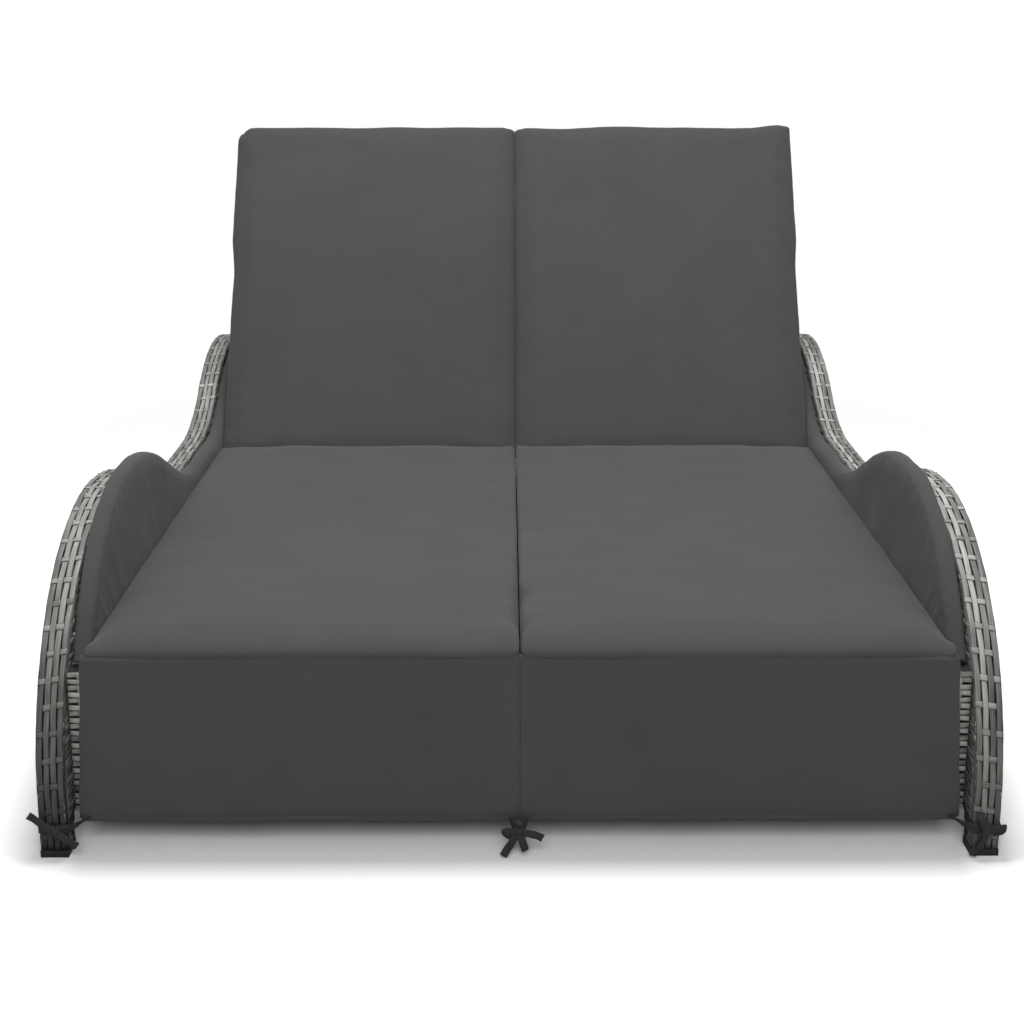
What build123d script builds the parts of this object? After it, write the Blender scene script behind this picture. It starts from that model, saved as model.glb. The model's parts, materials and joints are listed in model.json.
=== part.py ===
from build123d import *
import os
from math import asin, cos, degrees, hypot, radians, sin, tan

# Double chaise lounger. Millimetres, X to the viewer's right, Y from the foot end to the
# head end, Z up from the floor. The origin is on the floor under the middle of the lounger.

# Overall sizes
overall_width = 1400.0
panel_length = 2000.0
panel_thickness = 41.0
tie_reach = 14.0
tie_side_reach = 12.0

# Side panels
foot_cap_height = 11.0
panel_bottom = 50.0
front_arch_height = 460.0
rear_arch_height = 469.0
dip_height = 331.0
dip_front_share = 0.3985
dip_rear_share = 0.614
front_slope_deg = 24.0
rear_slope_deg = 34.8
# Each corner of the wave is rounded over these shares of the run before it and the run after it
wave_corner_shares = [
    (0.842, 0.745),
    (0.25, 0.40),
    (0.46, 0.34),
    (0.26, 0.46),
    (0.53, 0.225),
    (0.765, 0.955),
]
weave_thickness = 4.4
weave_gap = 0.1
side_tube_wall = 1.5
bottom_rail_diameter = 28.0
upright_diameter = 25.0
seat_upright_share = 0.21
waist_upright_share = 0.45
rack_upright_share = 0.78
spigot_length = 20.0
spigot_gap = 0.1
bend_share = sin(radians(45))

# Square steel tube of the base and the backrests
bar = 25.0
bar_wall = 1.5
cut_overrun = 5.0

# Base
apron_front = 45.0
apron_weave_thickness = 6.0
apron_weave_top = 262.0
apron_frame_bottom = 54.0
rear_apron_back = 64.0
deck_top = 272.0
deck_weave_thickness = 4.0
centre_gap = 1.0
beam_height = 40.0
seat_length_share = 0.575
seat_cross_bars = 5
board_rest_gap = 0.5

# Hinges
raise_deg = 57.0
hinge_offset = 55.0
lug_thickness = 4.0
lug_radius = 12.0
lug_gap = 0.3
pin_radius = 4.0
pin_clearance = 0.05
pin_head_radius = 6.5
pin_head_height = 4.0
hinge_inner_inset = 60.0
hinge_outer_inset = 64.0

# Backrests
back_start = 16.0
back_end_gap = 20.0
back_inner_x = 20.0
back_side_gap = 45.0
back_low_bars = 1
back_high_bars = 2

# Props
prop_pivot_share = 0.467273
prop_drop = 30.0
prop_arm_width = 18.0
prop_arm_thickness = 6.0
prop_inset = 90.0
bracket_width = 24.0
bracket_radius = 10.0
foot_bar_radius = 7.0
foot_bar_wall = 1.2
foot_bar_fit = 0.05
foot_bar_end_gap = 0.3

# Racks
rack_thickness = 3.0
rack_height = 28.0
rack_notches = 5
rack_notch_depth = 10.0
rack_end = 35.0
rack_end_gap = 5.0
tooth_gap = 1.3
rail_drop = 4.0

# Bolts
bolt_radius = 4.0
bolt_clearance = 0.2
bolt_head_radius = 7.0
bolt_head_height = 5.0
bolt_reach = 18.0
bolt_low_share = 0.35
bolt_high_share = 0.72

# Cushions
soft_gap = 0.3
cushion_thickness = 48.0
cushion_crown = 4.0
cushion_side_gap = 35.0
cushion_middle_gap = 1.5
cushion_front = 9.0
cushion_nose = 15.0
cushion_edge_radius = 12.0
cushion_overhang = 15.0
cushion_start = 2.0
junction_gap = 1.2
flap_front = 8.0
flap_thickness = 26.0
flap_top = 300.0
flap_bottom = 55.0
flap_flare = 15.0
# Where across its width a cushion's sections stand, and how full each one is
cushion_place_shares = [0.0, 0.02, 0.08, 0.25, 0.5, 0.75, 0.92, 0.98, 1.0]
cushion_fill_shares = [0.45, 0.72, 0.92, 1.0, 1.0, 1.0, 0.92, 0.72, 0.45]
flap_place_shares = [0.0, 0.05, 0.2, 0.5, 0.8, 0.95, 1.0]
flap_fill_shares = [0.45, 0.8, 0.95, 1.0, 0.95, 0.85, 0.6]

# Side pads
pad_thickness = 34.0
pad_front = 62.0
pad_shoulder = 190.0
pad_front_rise = 30.0
pad_front_shift = 30.0
pad_dip_shift = 60.0
pad_dip_rise = 2.0
pad_rear_drop = 6.0
pad_end_share = 0.82
pad_corner_shares = [
    (0.79, 0.60),
    (0.38, 0.36),
    (0.42, 0.40),
    (0.36, 0.44),
    (0.50, 0.45),
    (0.45, 0.45),
]
pad_edge_inset = 8.0
pad_place_shares = [0.0, 0.18, 0.45, 0.82, 1.0]
pad_inset_shares = [1.0, 0.35, 0.0, 0.0, 0.35]

# Ties
tape_width = 11.5
tape_thickness = 1.2
tape_gap = 0.3
tape_height = 43.0
knot_width = 17.0
knot_height = 14.0
knot_radius = 3.0
leg_knot_place = 25.0
hem_tuck = 3.0
side_tail_reach = leg_knot_place + tie_side_reach
tail_corner = 3.45
# The tape ends: how far each reaches outwards from its knot, and how far it rises
left_tails = [(side_tail_reach - tail_corner, 22.0), (-28.0, -18.0)]
right_tails = [(side_tail_reach, 0.0), (-12.0, -33.0), (4.0, 22.0)]
centre_tails = [(-15.0, -34.0), (9.0, -22.0), (34.0, -2.0), (-17.0, 4.0)]

# Values that follow: side panels and base
half_width = overall_width / 2
inner_x = half_width - panel_thickness
panel_mid_x = half_width - panel_thickness / 2
front_y = -(panel_length + tie_reach) / 2 + tie_reach
rear_y = front_y + panel_length
dip_front_y = front_y + dip_front_share * panel_length
dip_rear_y = front_y + dip_rear_share * panel_length
side_tube_radius = panel_thickness / 2 - weave_thickness - weave_gap
bottom_rail_z = panel_bottom + weave_thickness + weave_gap + bottom_rail_diameter / 2
frame_top = deck_top - deck_weave_thickness
frame_bottom = frame_top - bar
apron_frame_front = front_y + apron_front + apron_weave_thickness
apron_frame_rear = apron_frame_front + bar
rear_frame_back = rear_y - rear_apron_back - apron_weave_thickness
rear_frame_front = rear_frame_back - bar
rear_frame_top = frame_bottom - board_rest_gap
seat_rear = front_y + seat_length_share * panel_length

# Values that follow: hinges, backrests and props
raise_angle = radians(raise_deg)
hinge_y = seat_rear + hinge_offset
hinge_z = frame_top - bar / 2
back_outer_x = inner_x - back_side_gap
back_length = rear_y - back_end_gap - hinge_y
hinge_places = [back_inner_x + hinge_inner_inset, back_outer_x - hinge_outer_inset]
prop_places = [back_inner_x + prop_inset, back_outer_x - prop_inset]
foot_flat_y = rear_frame_front - rack_end_gap - rack_end
prop_reach = foot_flat_y - hinge_y
prop_pivot_distance = prop_pivot_share * prop_reach
prop_length = prop_reach - prop_pivot_distance
pivot_height = prop_pivot_distance * sin(raise_angle) - prop_drop * cos(raise_angle)
pivot_back = prop_pivot_distance * cos(raise_angle) + prop_drop * sin(raise_angle)
prop_angle = asin((pivot_height + prop_drop) / prop_length)
foot_raised_y = hinge_y + pivot_back + prop_length * cos(prop_angle)
pivot_flat_y = hinge_y + prop_pivot_distance
pivot_flat_z = hinge_z - prop_drop
tooth_z = pivot_flat_z - foot_bar_radius - tooth_gap
rail_top = tooth_z - rail_drop

# Values that follow: uprights and the bolts through them, as (y, z) places
front_upright_y = apron_frame_front + bar / 2
rear_upright_y = rear_frame_front + bar / 2
seat_upright_y = front_y + seat_upright_share * panel_length
waist_upright_y = front_y + waist_upright_share * panel_length
rack_upright_y = front_y + rack_upright_share * panel_length
upright_places = [front_upright_y, seat_upright_y, waist_upright_y, rack_upright_y, rear_upright_y]
bolt_low_z = bolt_low_share * (frame_bottom - apron_frame_bottom) + apron_frame_bottom
bolt_high_z = bolt_high_share * (frame_bottom - apron_frame_bottom) + apron_frame_bottom
rail_mid_z = rail_top - bar / 2
bolt_places = [
    (front_upright_y, bolt_low_z),
    (front_upright_y, bolt_high_z),
    (seat_upright_y, hinge_z),
    (waist_upright_y, hinge_z),
    (rack_upright_y, rail_mid_z),
    (rear_upright_y, bolt_low_z),
    (rear_upright_y, bolt_high_z),
]

# Values that follow: cushions, pads and ties
cushion_outer_x = inner_x - cushion_side_gap
cushion_bottom = deck_top + soft_gap
cushion_top = deck_top + cushion_thickness
flap_back_y = front_y + flap_front + flap_thickness
flap_corner_x = cushion_outer_x + flap_flare
hem_tape_y = (flap_back_y - hem_tuck - tape_thickness, flap_back_y - hem_tuck)
tail_y = front_y - tie_reach / 2


def block(x, y, z):
    """A block between two values on each axis."""
    size = Box(x[1] - x[0], y[1] - y[0], z[1] - z[0])
    return Pos((x[0] + x[1]) / 2, (y[0] + y[1]) / 2, (z[0] + z[1]) / 2) * size


def tube_bar(x, y, z, along):
    """A square tube as its outer block and its hollow, which runs on past both ends."""
    spans = {"x": x, "y": y, "z": z}
    hollow = {}
    for axis, (low, high) in spans.items():
        step = -cut_overrun / 2 if axis == along else bar_wall
        hollow[axis] = (low + step, high - step)
    return block(x, y, z), block(hollow["x"], hollow["y"], hollow["z"])


def even_starts(low, high, count):
    """Where each of some cross bars starts, with the same gap before, between and after them."""
    gap = (high - low - count * bar) / (count + 1)
    return [low + gap + index * (gap + bar) for index in range(count)]


def weld(bars):
    """One frame of square tubes, whose hollows open into each other."""
    frame = bars[0][0]
    for outer, _ in bars[1:]:
        frame = frame + outer
    for _, hollow in bars:
        frame = frame - hollow
    return frame


def rod(x, y, z, radius):
    """A round bar along X between two values of x."""
    plane = Plane(origin=(x[0], y, z), z_dir=(1, 0, 0))
    return extrude(plane * Circle(radius), x[1] - x[0])


def post(x, y, z, radius):
    """A round bar along Z between two values of z."""
    return extrude(Plane(origin=(x, y, z[0])) * Circle(radius), z[1] - z[0])


def plate(points, x):
    """A flat plate across X with straight sides through points of (y, z)."""
    corners = [(x[0], y, z) for y, z in points]
    face = Face(Wire(Polyline(*corners, close=True).edges()))
    return extrude(face, x[1] - x[0], dir=(1, 0, 0))


def turned(shape, degrees):
    """A piece of the backrest, modelled flat, turned about the hinge."""
    return shape.rotate(Axis((0, hinge_y, hinge_z), (1, 0, 0)), degrees)


def joined(shapes):
    """Separate solids kept together in one piece."""
    solids = []
    for shape in shapes:
        solids.extend(shape.solids())
    return Compound(children=solids)


def both_sides(shape):
    """A right-hand piece and its mirror image, kept together in one piece."""
    return joined([shape, mirror(shape, about=Plane.YZ)])


def rounded_run(points, shares, inset):
    """Corners and radii of a rounded run of (y, z) points, moved inwards by an inset."""
    count = len(points)
    runs = []
    for (y0, z0), (y1, z1) in zip(points, points[1:]):
        length = hypot(y1 - y0, z1 - z0)
        runs.append(((y1 - y0) / length, (z1 - z0) / length, length))
    moved = []
    radii = []
    for index, (y, z) in enumerate(points):
        before = runs[max(index - 1, 0)]
        after = runs[min(index, count - 2)]
        lean = 1 + before[0] * after[0] + before[1] * after[1]
        shift_y = (before[1] + after[1]) / lean
        shift_z = -(before[0] + after[0]) / lean
        moved.append((y + inset * shift_y, z + inset * shift_z))
        if 0 < index < count - 1:
            share_before, share_after = shares[index - 1]
            tangent = min(share_before * before[2], share_after * after[2])
            cross = before[0] * after[1] - before[1] * after[0]
            half_turn_tan = abs(cross) / lean
            side = inset if cross < 0 else -inset
            radii.append(tangent / half_turn_tan - side)
    return moved, radii


def rounded_face(x, points, shares, inset):
    """The face under a rounded run, closed by a straight line from its end to its start."""
    moved, radii = rounded_run(points, shares, inset)
    corners = [(x, y, z) for y, z in moved]
    run = FilletPolyline(*corners, radius=radii)
    closing = Line(corners[-1], corners[0])
    return Face(Wire([*run.edges(), *closing.edges()]))


def wave_points():
    """Corners of the side panel's wave, from the front foot to the rear foot."""
    front_fall = (front_arch_height - dip_height) / tan(radians(front_slope_deg))
    rear_climb = (rear_arch_height - dip_height) / tan(radians(rear_slope_deg))
    return [
        (front_y, foot_cap_height),
        (front_y, front_arch_height),
        (dip_front_y - front_fall, front_arch_height),
        (dip_front_y, dip_height),
        (dip_rear_y, dip_height),
        (dip_rear_y + rear_climb, rear_arch_height),
        (rear_y, rear_arch_height),
        (rear_y, foot_cap_height),
    ]


def wave_block(x, inset):
    """Everything under the wave moved inwards by an inset, between two values of x."""
    face = rounded_face(x[0], wave_points(), wave_corner_shares, inset)
    return extrude(face, x[1] - x[0], dir=(1, 0, 0))


def wave_sweep(radius):
    """A solid round bar that follows the wave at the middle of the panel."""
    moved, radii = rounded_run(wave_points(), wave_corner_shares, panel_thickness / 2)
    path = FilletPolyline(*[(panel_mid_x, y, z) for y, z in moved], radius=radii)
    section = Plane(origin=path @ 0, z_dir=path % 0) * Circle(radius)
    return sweep(section, path=path)


def bolt_holes():
    """The clearance holes of one side's bolts, to cut from what they pass through."""
    span = (inner_x - bar - cut_overrun, panel_mid_x)
    return [rod(span, y, z, bolt_radius + bolt_clearance) for y, z in bolt_places]


def drilled(shape):
    """A piece of the right side with that side's bolt holes cut from it."""
    for hole in bolt_holes():
        shape = shape - hole
    return shape


def drilled_both(shape):
    """A piece that spans both sides with both sides' bolt holes cut from it."""
    for hole in bolt_holes():
        shape = shape - hole - mirror(hole, about=Plane.YZ)
    return shape


# Side panels


def side_tube():
    """The bent tube from foot to foot."""
    return wave_sweep(side_tube_radius) - wave_sweep(side_tube_radius - side_tube_wall)


def round_post(y, envelope):
    """One upright between the bottom rail and the bent tube, coped to both."""
    radius = upright_diameter / 2
    span = (bottom_rail_z, front_arch_height + rear_arch_height)
    solid = post(panel_mid_x, y, span, radius) - post(panel_mid_x, y, span, radius - side_tube_wall)
    under = wave_block((inner_x, half_width), panel_thickness / 2)
    return (solid & under) - envelope


def bottom_rail(envelope):
    """The straight tube between the two legs."""
    radius = bottom_rail_diameter / 2
    leg_mid = panel_thickness / 2
    plane = Plane(origin=(panel_mid_x, front_y + leg_mid, bottom_rail_z), z_dir=(0, 1, 0))
    length = panel_length - 2 * leg_mid
    outside = extrude(plane * Circle(radius), length)
    hollow = extrude(plane * Circle(radius - side_tube_wall), length)
    return outside - hollow - envelope


def panel_stretches(shape):
    """A woven piece of the panel in three stretches: front arch, dip and rear arch."""
    ends = [front_y - cut_overrun, dip_front_y, dip_rear_y, rear_y + cut_overrun]
    x =(inner_x - cut_overrun, half_width + cut_overrun)
    z = (0, front_arch_height + rear_arch_height)
    return joined([shape & block(x, (start, end), z) for start, end in zip(ends, ends[1:])])


def skin(x):
    """A flat woven skin on one face of the panel, down to the panel's bottom."""
    wide = (x[0] - cut_overrun, x[1] + cut_overrun)
    below = block(wide, (front_y - cut_overrun, rear_y + cut_overrun), (0, panel_bottom))
    return panel_stretches(wave_block(x, weave_thickness) - below)


def edge_weave():
    """The woven band over the panel's edge."""
    wide = (inner_x - cut_overrun, half_width + cut_overrun)
    band = wave_block((inner_x, half_width), 0) - wave_block(wide, weave_thickness)
    return panel_stretches(band)


def leg_wrap(near, far, inside_y, envelope):
    """The woven wrap round the foot of one leg, open on the side of the edge weave."""
    x = (inner_x, half_width)
    inside_x = (inner_x + weave_thickness, half_width - weave_thickness)
    under = wave_block(x, weave_thickness)
    wrap = block(x, (near, far), (foot_cap_height, panel_bottom)) & under
    return wrap - block(inside_x, inside_y, (0, panel_bottom + cut_overrun)) - envelope


def lower_weave(envelope):
    """The woven strip under the panel and the wraps round the feet of its two legs."""
    front_leg = (front_y, front_y + panel_thickness)
    rear_leg = (rear_y - panel_thickness, rear_y)
    x = (inner_x + weave_thickness, half_width - weave_thickness)
    z = (panel_bottom, panel_bottom + weave_thickness)
    strip = block(x, (front_leg[1], rear_leg[0]), z) - envelope
    front_inside = (front_leg[0] - cut_overrun, front_leg[1] - weave_thickness)
    rear_inside = (rear_leg[0] + weave_thickness, rear_leg[1] + cut_overrun)
    front_wrap = leg_wrap(*front_leg, front_inside, envelope)
    rear_wrap = leg_wrap(*rear_leg, rear_inside, envelope)
    return joined([strip, front_wrap, rear_wrap])


def foot_caps():
    """A cap under each leg, with a spigot up the tube."""
    caps = []
    leg_mid = panel_thickness / 2
    for y in (front_y + leg_mid, rear_y - leg_mid):
        base = block((inner_x, half_width), (y - leg_mid, y + leg_mid), (0, foot_cap_height))
        spigot_top = foot_cap_height + spigot_length
        radius = side_tube_radius - side_tube_wall - spigot_gap
        caps.append(base + post(panel_mid_x, y, (foot_cap_height, spigot_top), radius))
    return joined(caps)


def bolts():
    """The bolts that hold the frames to one side panel."""
    made = []
    head_x = inner_x - bar
    for y, z in bolt_places:
        shank = rod((head_x, inner_x + bolt_reach), y, z, bolt_radius)
        made.append(shank + rod((head_x - bolt_head_height, head_x), y, z, bolt_head_radius))
    return joined(made)


# Base


def apron_frame(y, top):
    """A frame across the lounger: two rails, a stile at each side and one in the middle."""
    rail_x = (-inner_x + bar, inner_x - bar)
    z = (apron_frame_bottom, top)
    bars = [
        tube_bar((-inner_x, -inner_x + bar), y, z, "z"),
        tube_bar((inner_x - bar, inner_x), y, z, "z"),
        tube_bar(rail_x, y, (z[0], z[0] + bar), "x"),
        tube_bar(rail_x, y, (z[1] - bar, z[1]), "x"),
        tube_bar((-bar / 2, bar / 2), y, (z[0] + bar, z[1] - bar), "z"),
    ]
    return drilled_both(weld(bars))


def centre_beam():
    """The beam under the gap between the two seats, from apron to apron."""
    x = (-bar / 2, bar / 2)
    z = (frame_bottom - beam_height, frame_bottom)
    outer, hollow = tube_bar(x, (apron_frame_rear, rear_frame_front), z, "y")
    return outer - hollow


def seat_frame():
    """The welded frame under the right seat, with cross bars."""
    x = (centre_gap, inner_x)
    z = (frame_bottom, frame_top)
    inside = (x[0] + bar, x[1] - bar)
    bars = [
        tube_bar((x[0], x[0] + bar), (apron_frame_front, seat_rear), z, "y"),
        tube_bar((x[1] - bar, x[1]), (apron_frame_front, seat_rear), z, "y"),
        tube_bar(inside, (apron_frame_front, apron_frame_rear), z, "x"),
        tube_bar(inside, (seat_rear - bar, seat_rear), z, "x"),
    ]
    for start in even_starts(apron_frame_rear, seat_rear - bar, seat_cross_bars):
        bars.append(tube_bar(inside, (start, start + bar), z, "x"))
    return drilled(weld(bars))


def side_rail():
    """The short rail behind the seat that carries the outer rack."""
    y = (rack_upright_y - bar, rear_frame_front)
    z = (rail_top - bar, rail_top)
    outer, hollow = tube_bar((inner_x - bar, inner_x), y, z, "y")
    return drilled(outer - hollow)


def hinge_lugs():
    """Plates on the seat frame's rear bar that hold the hinge pins."""
    made = []
    for x in hinge_places:
        span = (x, x + lug_thickness)
        neck = block(span, (seat_rear, hinge_y), (hinge_z - lug_radius, hinge_z))
        lug = neck + rod(span, hinge_y, hinge_z, lug_radius)
        wide = (span[0] - cut_overrun, span[1] + cut_overrun)
        made.append(lug - rod(wide, hinge_y, hinge_z, pin_radius + pin_clearance))
    return joined(made)


def headed_pin(start, grip, y, z):
    """A pin along X with a head at each end of its grip."""
    end = start + grip
    pin = rod((start, end), y, z, pin_radius)
    pin = pin + rod((start - pin_head_height, start), y, z, pin_head_radius)
    return pin + rod((end, end + pin_head_height), y, z, pin_head_radius)


def hinge_pins():
    """The pins of the right backrest's hinges."""
    grip = 2 * lug_thickness + 2 * lug_gap
    return joined([headed_pin(x, grip, hinge_y, hinge_z) for x in hinge_places])


def rack(x):
    """A toothed plate along the path of the foot bar."""
    pitch = (foot_flat_y - foot_raised_y) / (rack_notches - 1)
    base_z = tooth_z - rack_height
    points = [(foot_raised_y - rack_end, base_z), (foot_raised_y - rack_end, tooth_z)]
    for index in range(rack_notches):
        y = foot_raised_y + index * pitch
        points.append((y - foot_bar_radius, tooth_z))
        points.append((y - foot_bar_radius, tooth_z - rack_notch_depth))
        points.append((y + foot_bar_radius, tooth_z - rack_notch_depth))
        points.append((y + foot_bar_radius + rack_notch_depth, tooth_z))
    end = foot_flat_y + rack_end
    points.append((end, tooth_z))
    points.append((end, base_z))
    return plate(points, x)


# Backrests, modelled flat and turned up


def back_frame():
    """The welded frame of the right backrest, with a cross bar over the prop's brackets."""
    x = (back_inner_x, back_outer_x)
    y = (hinge_y + back_start, hinge_y + back_length)
    z = (frame_bottom, frame_top)
    inside = (x[0] + bar, x[1] - bar)
    bars = [
        tube_bar((x[0], x[0] + bar), y, z, "y"),
        tube_bar((x[1] - bar, x[1]), y, z, "y"),
        tube_bar(inside, (y[0], y[0] + bar), z, "x"),
        tube_bar(inside, (y[1] - bar, y[1]), z, "x"),
    ]
    prop_bar = (pivot_flat_y - bar / 2, pivot_flat_y + bar / 2)
    starts = [prop_bar[0]]
    starts.extend(even_starts(y[0] + bar, prop_bar[0], back_low_bars))
    starts.extend(even_starts(prop_bar[1], y[1] - bar, back_high_bars))
    for start in starts:
        bars.append(tube_bar(inside, (start, start + bar), z, "x"))
    frame = weld(bars)
    for ear in back_ears():
        frame = frame + ear
    return frame


def back_weave():
    """The woven panel on the backrest frame."""
    y = (hinge_y + back_start, hinge_y + back_length)
    return block((back_inner_x, back_outer_x), y, (frame_top, deck_top))


def back_ears():
    """Plates welded to the backrest's lower bar, which turn on the hinge pins."""
    made = []
    for x in hinge_places:
        start = x + lug_thickness + lug_gap
        span = (start, start + lug_thickness)
        z = (hinge_z - lug_radius, hinge_z + lug_radius)
        neck = block(span, (hinge_y, hinge_y + back_start), z)
        ear = neck + rod(span, hinge_y, hinge_z, lug_radius)
        wide = (span[0] - cut_overrun, span[1] + cut_overrun)
        made.append(ear - rod(wide, hinge_y, hinge_z, pin_radius + pin_clearance))
    return made


def prop_brackets():
    """Plates under the backrest that hold the prop's pivot pins."""
    made = []
    for x in prop_places:
        start = x + prop_arm_thickness + lug_gap
        span = (start, start + lug_thickness)
        y = (pivot_flat_y - bracket_width / 2, pivot_flat_y + bracket_width / 2)
        flat = block(span, y, (pivot_flat_z, frame_bottom))
        flat = flat + rod(span, pivot_flat_y, pivot_flat_z, bracket_radius)
        wide = (span[0] - cut_overrun, span[1] + cut_overrun)
        made.append(flat - rod(wide, pivot_flat_y, pivot_flat_z, pin_radius + pin_clearance))
    return joined(made)


def prop_pins():
    """The prop's pivot pins."""
    grip = prop_arm_thickness + lug_thickness + 2 * lug_gap
    starts = [x - lug_gap for x in prop_places]
    return joined([headed_pin(start, grip, pivot_flat_y, pivot_flat_z) for start in starts])


def prop_arms():
    """The two flat arms of the prop, modelled flat."""
    made = []
    radius = prop_arm_width / 2
    foot_y = pivot_flat_y + prop_length
    for x in prop_places:
        span = (x, x + prop_arm_thickness)
        arm = block(span, (pivot_flat_y, foot_y), (pivot_flat_z - radius, pivot_flat_z + radius))
        arm = arm + rod(span, pivot_flat_y, pivot_flat_z, radius)
        arm = arm + rod(span, foot_y, pivot_flat_z, radius)
        wide = (span[0] - cut_overrun, span[1] + cut_overrun)
        arm = arm - rod(wide, pivot_flat_y, pivot_flat_z, pin_radius + pin_clearance)
        made.append(arm - rod(wide, foot_y, pivot_flat_z, foot_bar_radius + foot_bar_fit))
    return joined(made)


def prop_foot_bar():
    """The round bar that drops into the racks, modelled flat."""
    span = (bar / 2 + foot_bar_end_gap, inner_x - bar - foot_bar_end_gap)
    foot_y = pivot_flat_y + prop_length
    wide = (span[0] - cut_overrun, span[1] + cut_overrun)
    inside = rod(wide, foot_y, pivot_flat_z, foot_bar_radius - foot_bar_wall)
    return rod(span, foot_y, pivot_flat_z, foot_bar_radius) - inside


def swung(shape):
    """A piece of the prop, modelled flat, in its place under the raised backrest."""
    pivot = Axis((0, pivot_flat_y, pivot_flat_z), (1, 0, 0))
    return turned(shape.rotate(pivot, -raise_deg - degrees(prop_angle)), raise_deg)


# Cushions


def cushion(section):
    """A cushion across the right half, lofted through its sections from side to side."""
    x = (cushion_middle_gap, cushion_outer_x)
    faces = []
    for place, fill in zip(cushion_place_shares, cushion_fill_shares):
        faces.append(section(x[0] + place * (x[1] - x[0]), fill))
    return loft(faces, ruled=True)


def closed_face(edges):
    """A face inside a closed run of lines and arcs."""
    return Face(Wire([edge for item in edges for edge in item.edges()]))


def seat_section(x, fill):
    """The seat cushion's section: a nose over the flap, a crowned top and a leaning rear end."""
    seam_z = flap_top + soft_gap
    edge_z = seam_z + (cushion_top - seam_z) * fill
    crown_z = edge_z + cushion_crown * fill
    nose_y = front_y + cushion_front
    back_y = flap_back_y + soft_gap
    lean = 1 / tan(raise_angle)
    surface = hinge_y - (cushion_top - hinge_z) * sin(raise_angle)
    line_z = hinge_z + (cushion_top - hinge_z) * cos(raise_angle)
    rear_low = surface - junction_gap
    rear_top = rear_low + (edge_z - line_z) * lean
    bend = (nose_y + cushion_nose * (1 - bend_share), seam_z + (edge_z - seam_z) * bend_share)
    low_front = (x, back_y, cushion_bottom)
    step = (x, back_y, seam_z)
    nose = (x, nose_y, seam_z)
    top_front = (x, nose_y + cushion_nose, edge_z)
    top_rear = (x, rear_top, edge_z)
    rear = (x, rear_low, line_z)
    low_rear = (x, rear_low, cushion_bottom)
    middle = (x, (top_front[1] + rear_top) / 2, crown_z)
    return closed_face([
        Line(low_front, step),
        Line(step, nose),
        ThreePointArc(nose, (x, *bend), top_front),
        ThreePointArc(top_front, middle, top_rear),
        Line(top_rear, rear),
        Line(rear, low_rear),
        Line(low_rear, low_front),
    ])


def back_section(x, fill):
    """The back cushion's section, lying flat: a flat bottom, rounded ends and a crowned top."""
    edge_z = cushion_bottom + (cushion_top - cushion_bottom) * fill
    crown_z = edge_z + cushion_crown * fill
    radius = cushion_edge_radius * fill
    reach = radius * bend_share
    start = hinge_y + cushion_start
    end = hinge_y + back_length + cushion_overhang
    low_start = (x, start, cushion_bottom)
    side_start = (x, start, edge_z - radius)
    bend_start = (x, start + radius - reach, edge_z - radius + reach)
    top_start = (x, start + radius, edge_z)
    middle = (x, (start + end) / 2, crown_z)
    top_end = (x, end - radius, edge_z)
    bend_end = (x, end - radius + reach, edge_z - radius + reach)
    side_end = (x, end, edge_z - radius)
    low_end = (x, end, cushion_bottom)
    return closed_face([
        Line(low_start, side_start),
        ThreePointArc(side_start, bend_start, top_start),
        ThreePointArc(top_start, middle, top_end),
        ThreePointArc(top_end, bend_end, side_end),
        Line(side_end, low_end),
        Line(low_end, low_start),
    ])


def front_flap():
    """The flap that hangs from the seat cushion's front edge, lofted from its hem to its top."""
    faces = []
    for place, fill in zip(flap_place_shares, flap_fill_shares):
        z = flap_bottom + place * (flap_top - flap_bottom)
        outer_x = cushion_outer_x + flap_flare * (1 - place)
        front = flap_back_y - flap_thickness * fill
        edge = flap_back_y - flap_thickness * fill / 2
        middle_x = (cushion_middle_gap + outer_x) / 2
        inner = (cushion_middle_gap, flap_back_y, z)
        inner_edge = (cushion_middle_gap, edge, z)
        outer_edge = (outer_x, edge, z)
        outer = (outer_x, flap_back_y, z)
        faces.append(closed_face([
            Line(inner, inner_edge),
            ThreePointArc(inner_edge, (middle_x, front, z), outer_edge),
            Line(outer_edge, outer),
            Line(outer, inner),
        ]))
    return loft(faces, ruled=True)


def pad_points():
    """Corners of the side pad's outline, from its front foot over the wave to its rear end."""
    wave = wave_points()
    top_z = front_arch_height + pad_front_rise
    rear_z = rear_arch_height - pad_rear_drop
    end_y = front_y + pad_end_share * panel_length
    return [
        (front_y + pad_front, cushion_bottom),
        (front_y + pad_shoulder, top_z),
        (wave[2][0] + pad_front_shift, top_z),
        (wave[3][0] + pad_dip_shift, dip_height + pad_dip_rise),
        (wave[4][0], dip_height + pad_dip_rise),
        (wave[5][0], rear_z),
        (end_y, rear_z),
        (end_y, cushion_bottom),
    ]


def side_pad():
    """The pad against the inner face of the side panel."""
    faces = []
    start = inner_x - soft_gap - pad_thickness
    for place, share in zip(pad_place_shares, pad_inset_shares):
        inset = pad_edge_inset * share
        points = pad_points()
        moved, radii = rounded_run(points, pad_corner_shares, inset)
        x = start + place * pad_thickness
        bottom = cushion_bottom
        first = (x, moved[0][0], bottom)
        last = (x, moved[-1][0], bottom)
        corners = [first] + [(x, y, z) for y, z in moved[1:-1]] + [last]
        run = FilletPolyline(*corners, radius=radii)
        faces.append(Face(Wire([*run.edges(), *Line(last, first).edges()])))
    return loft(faces, ruled=True)


# Ties


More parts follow.
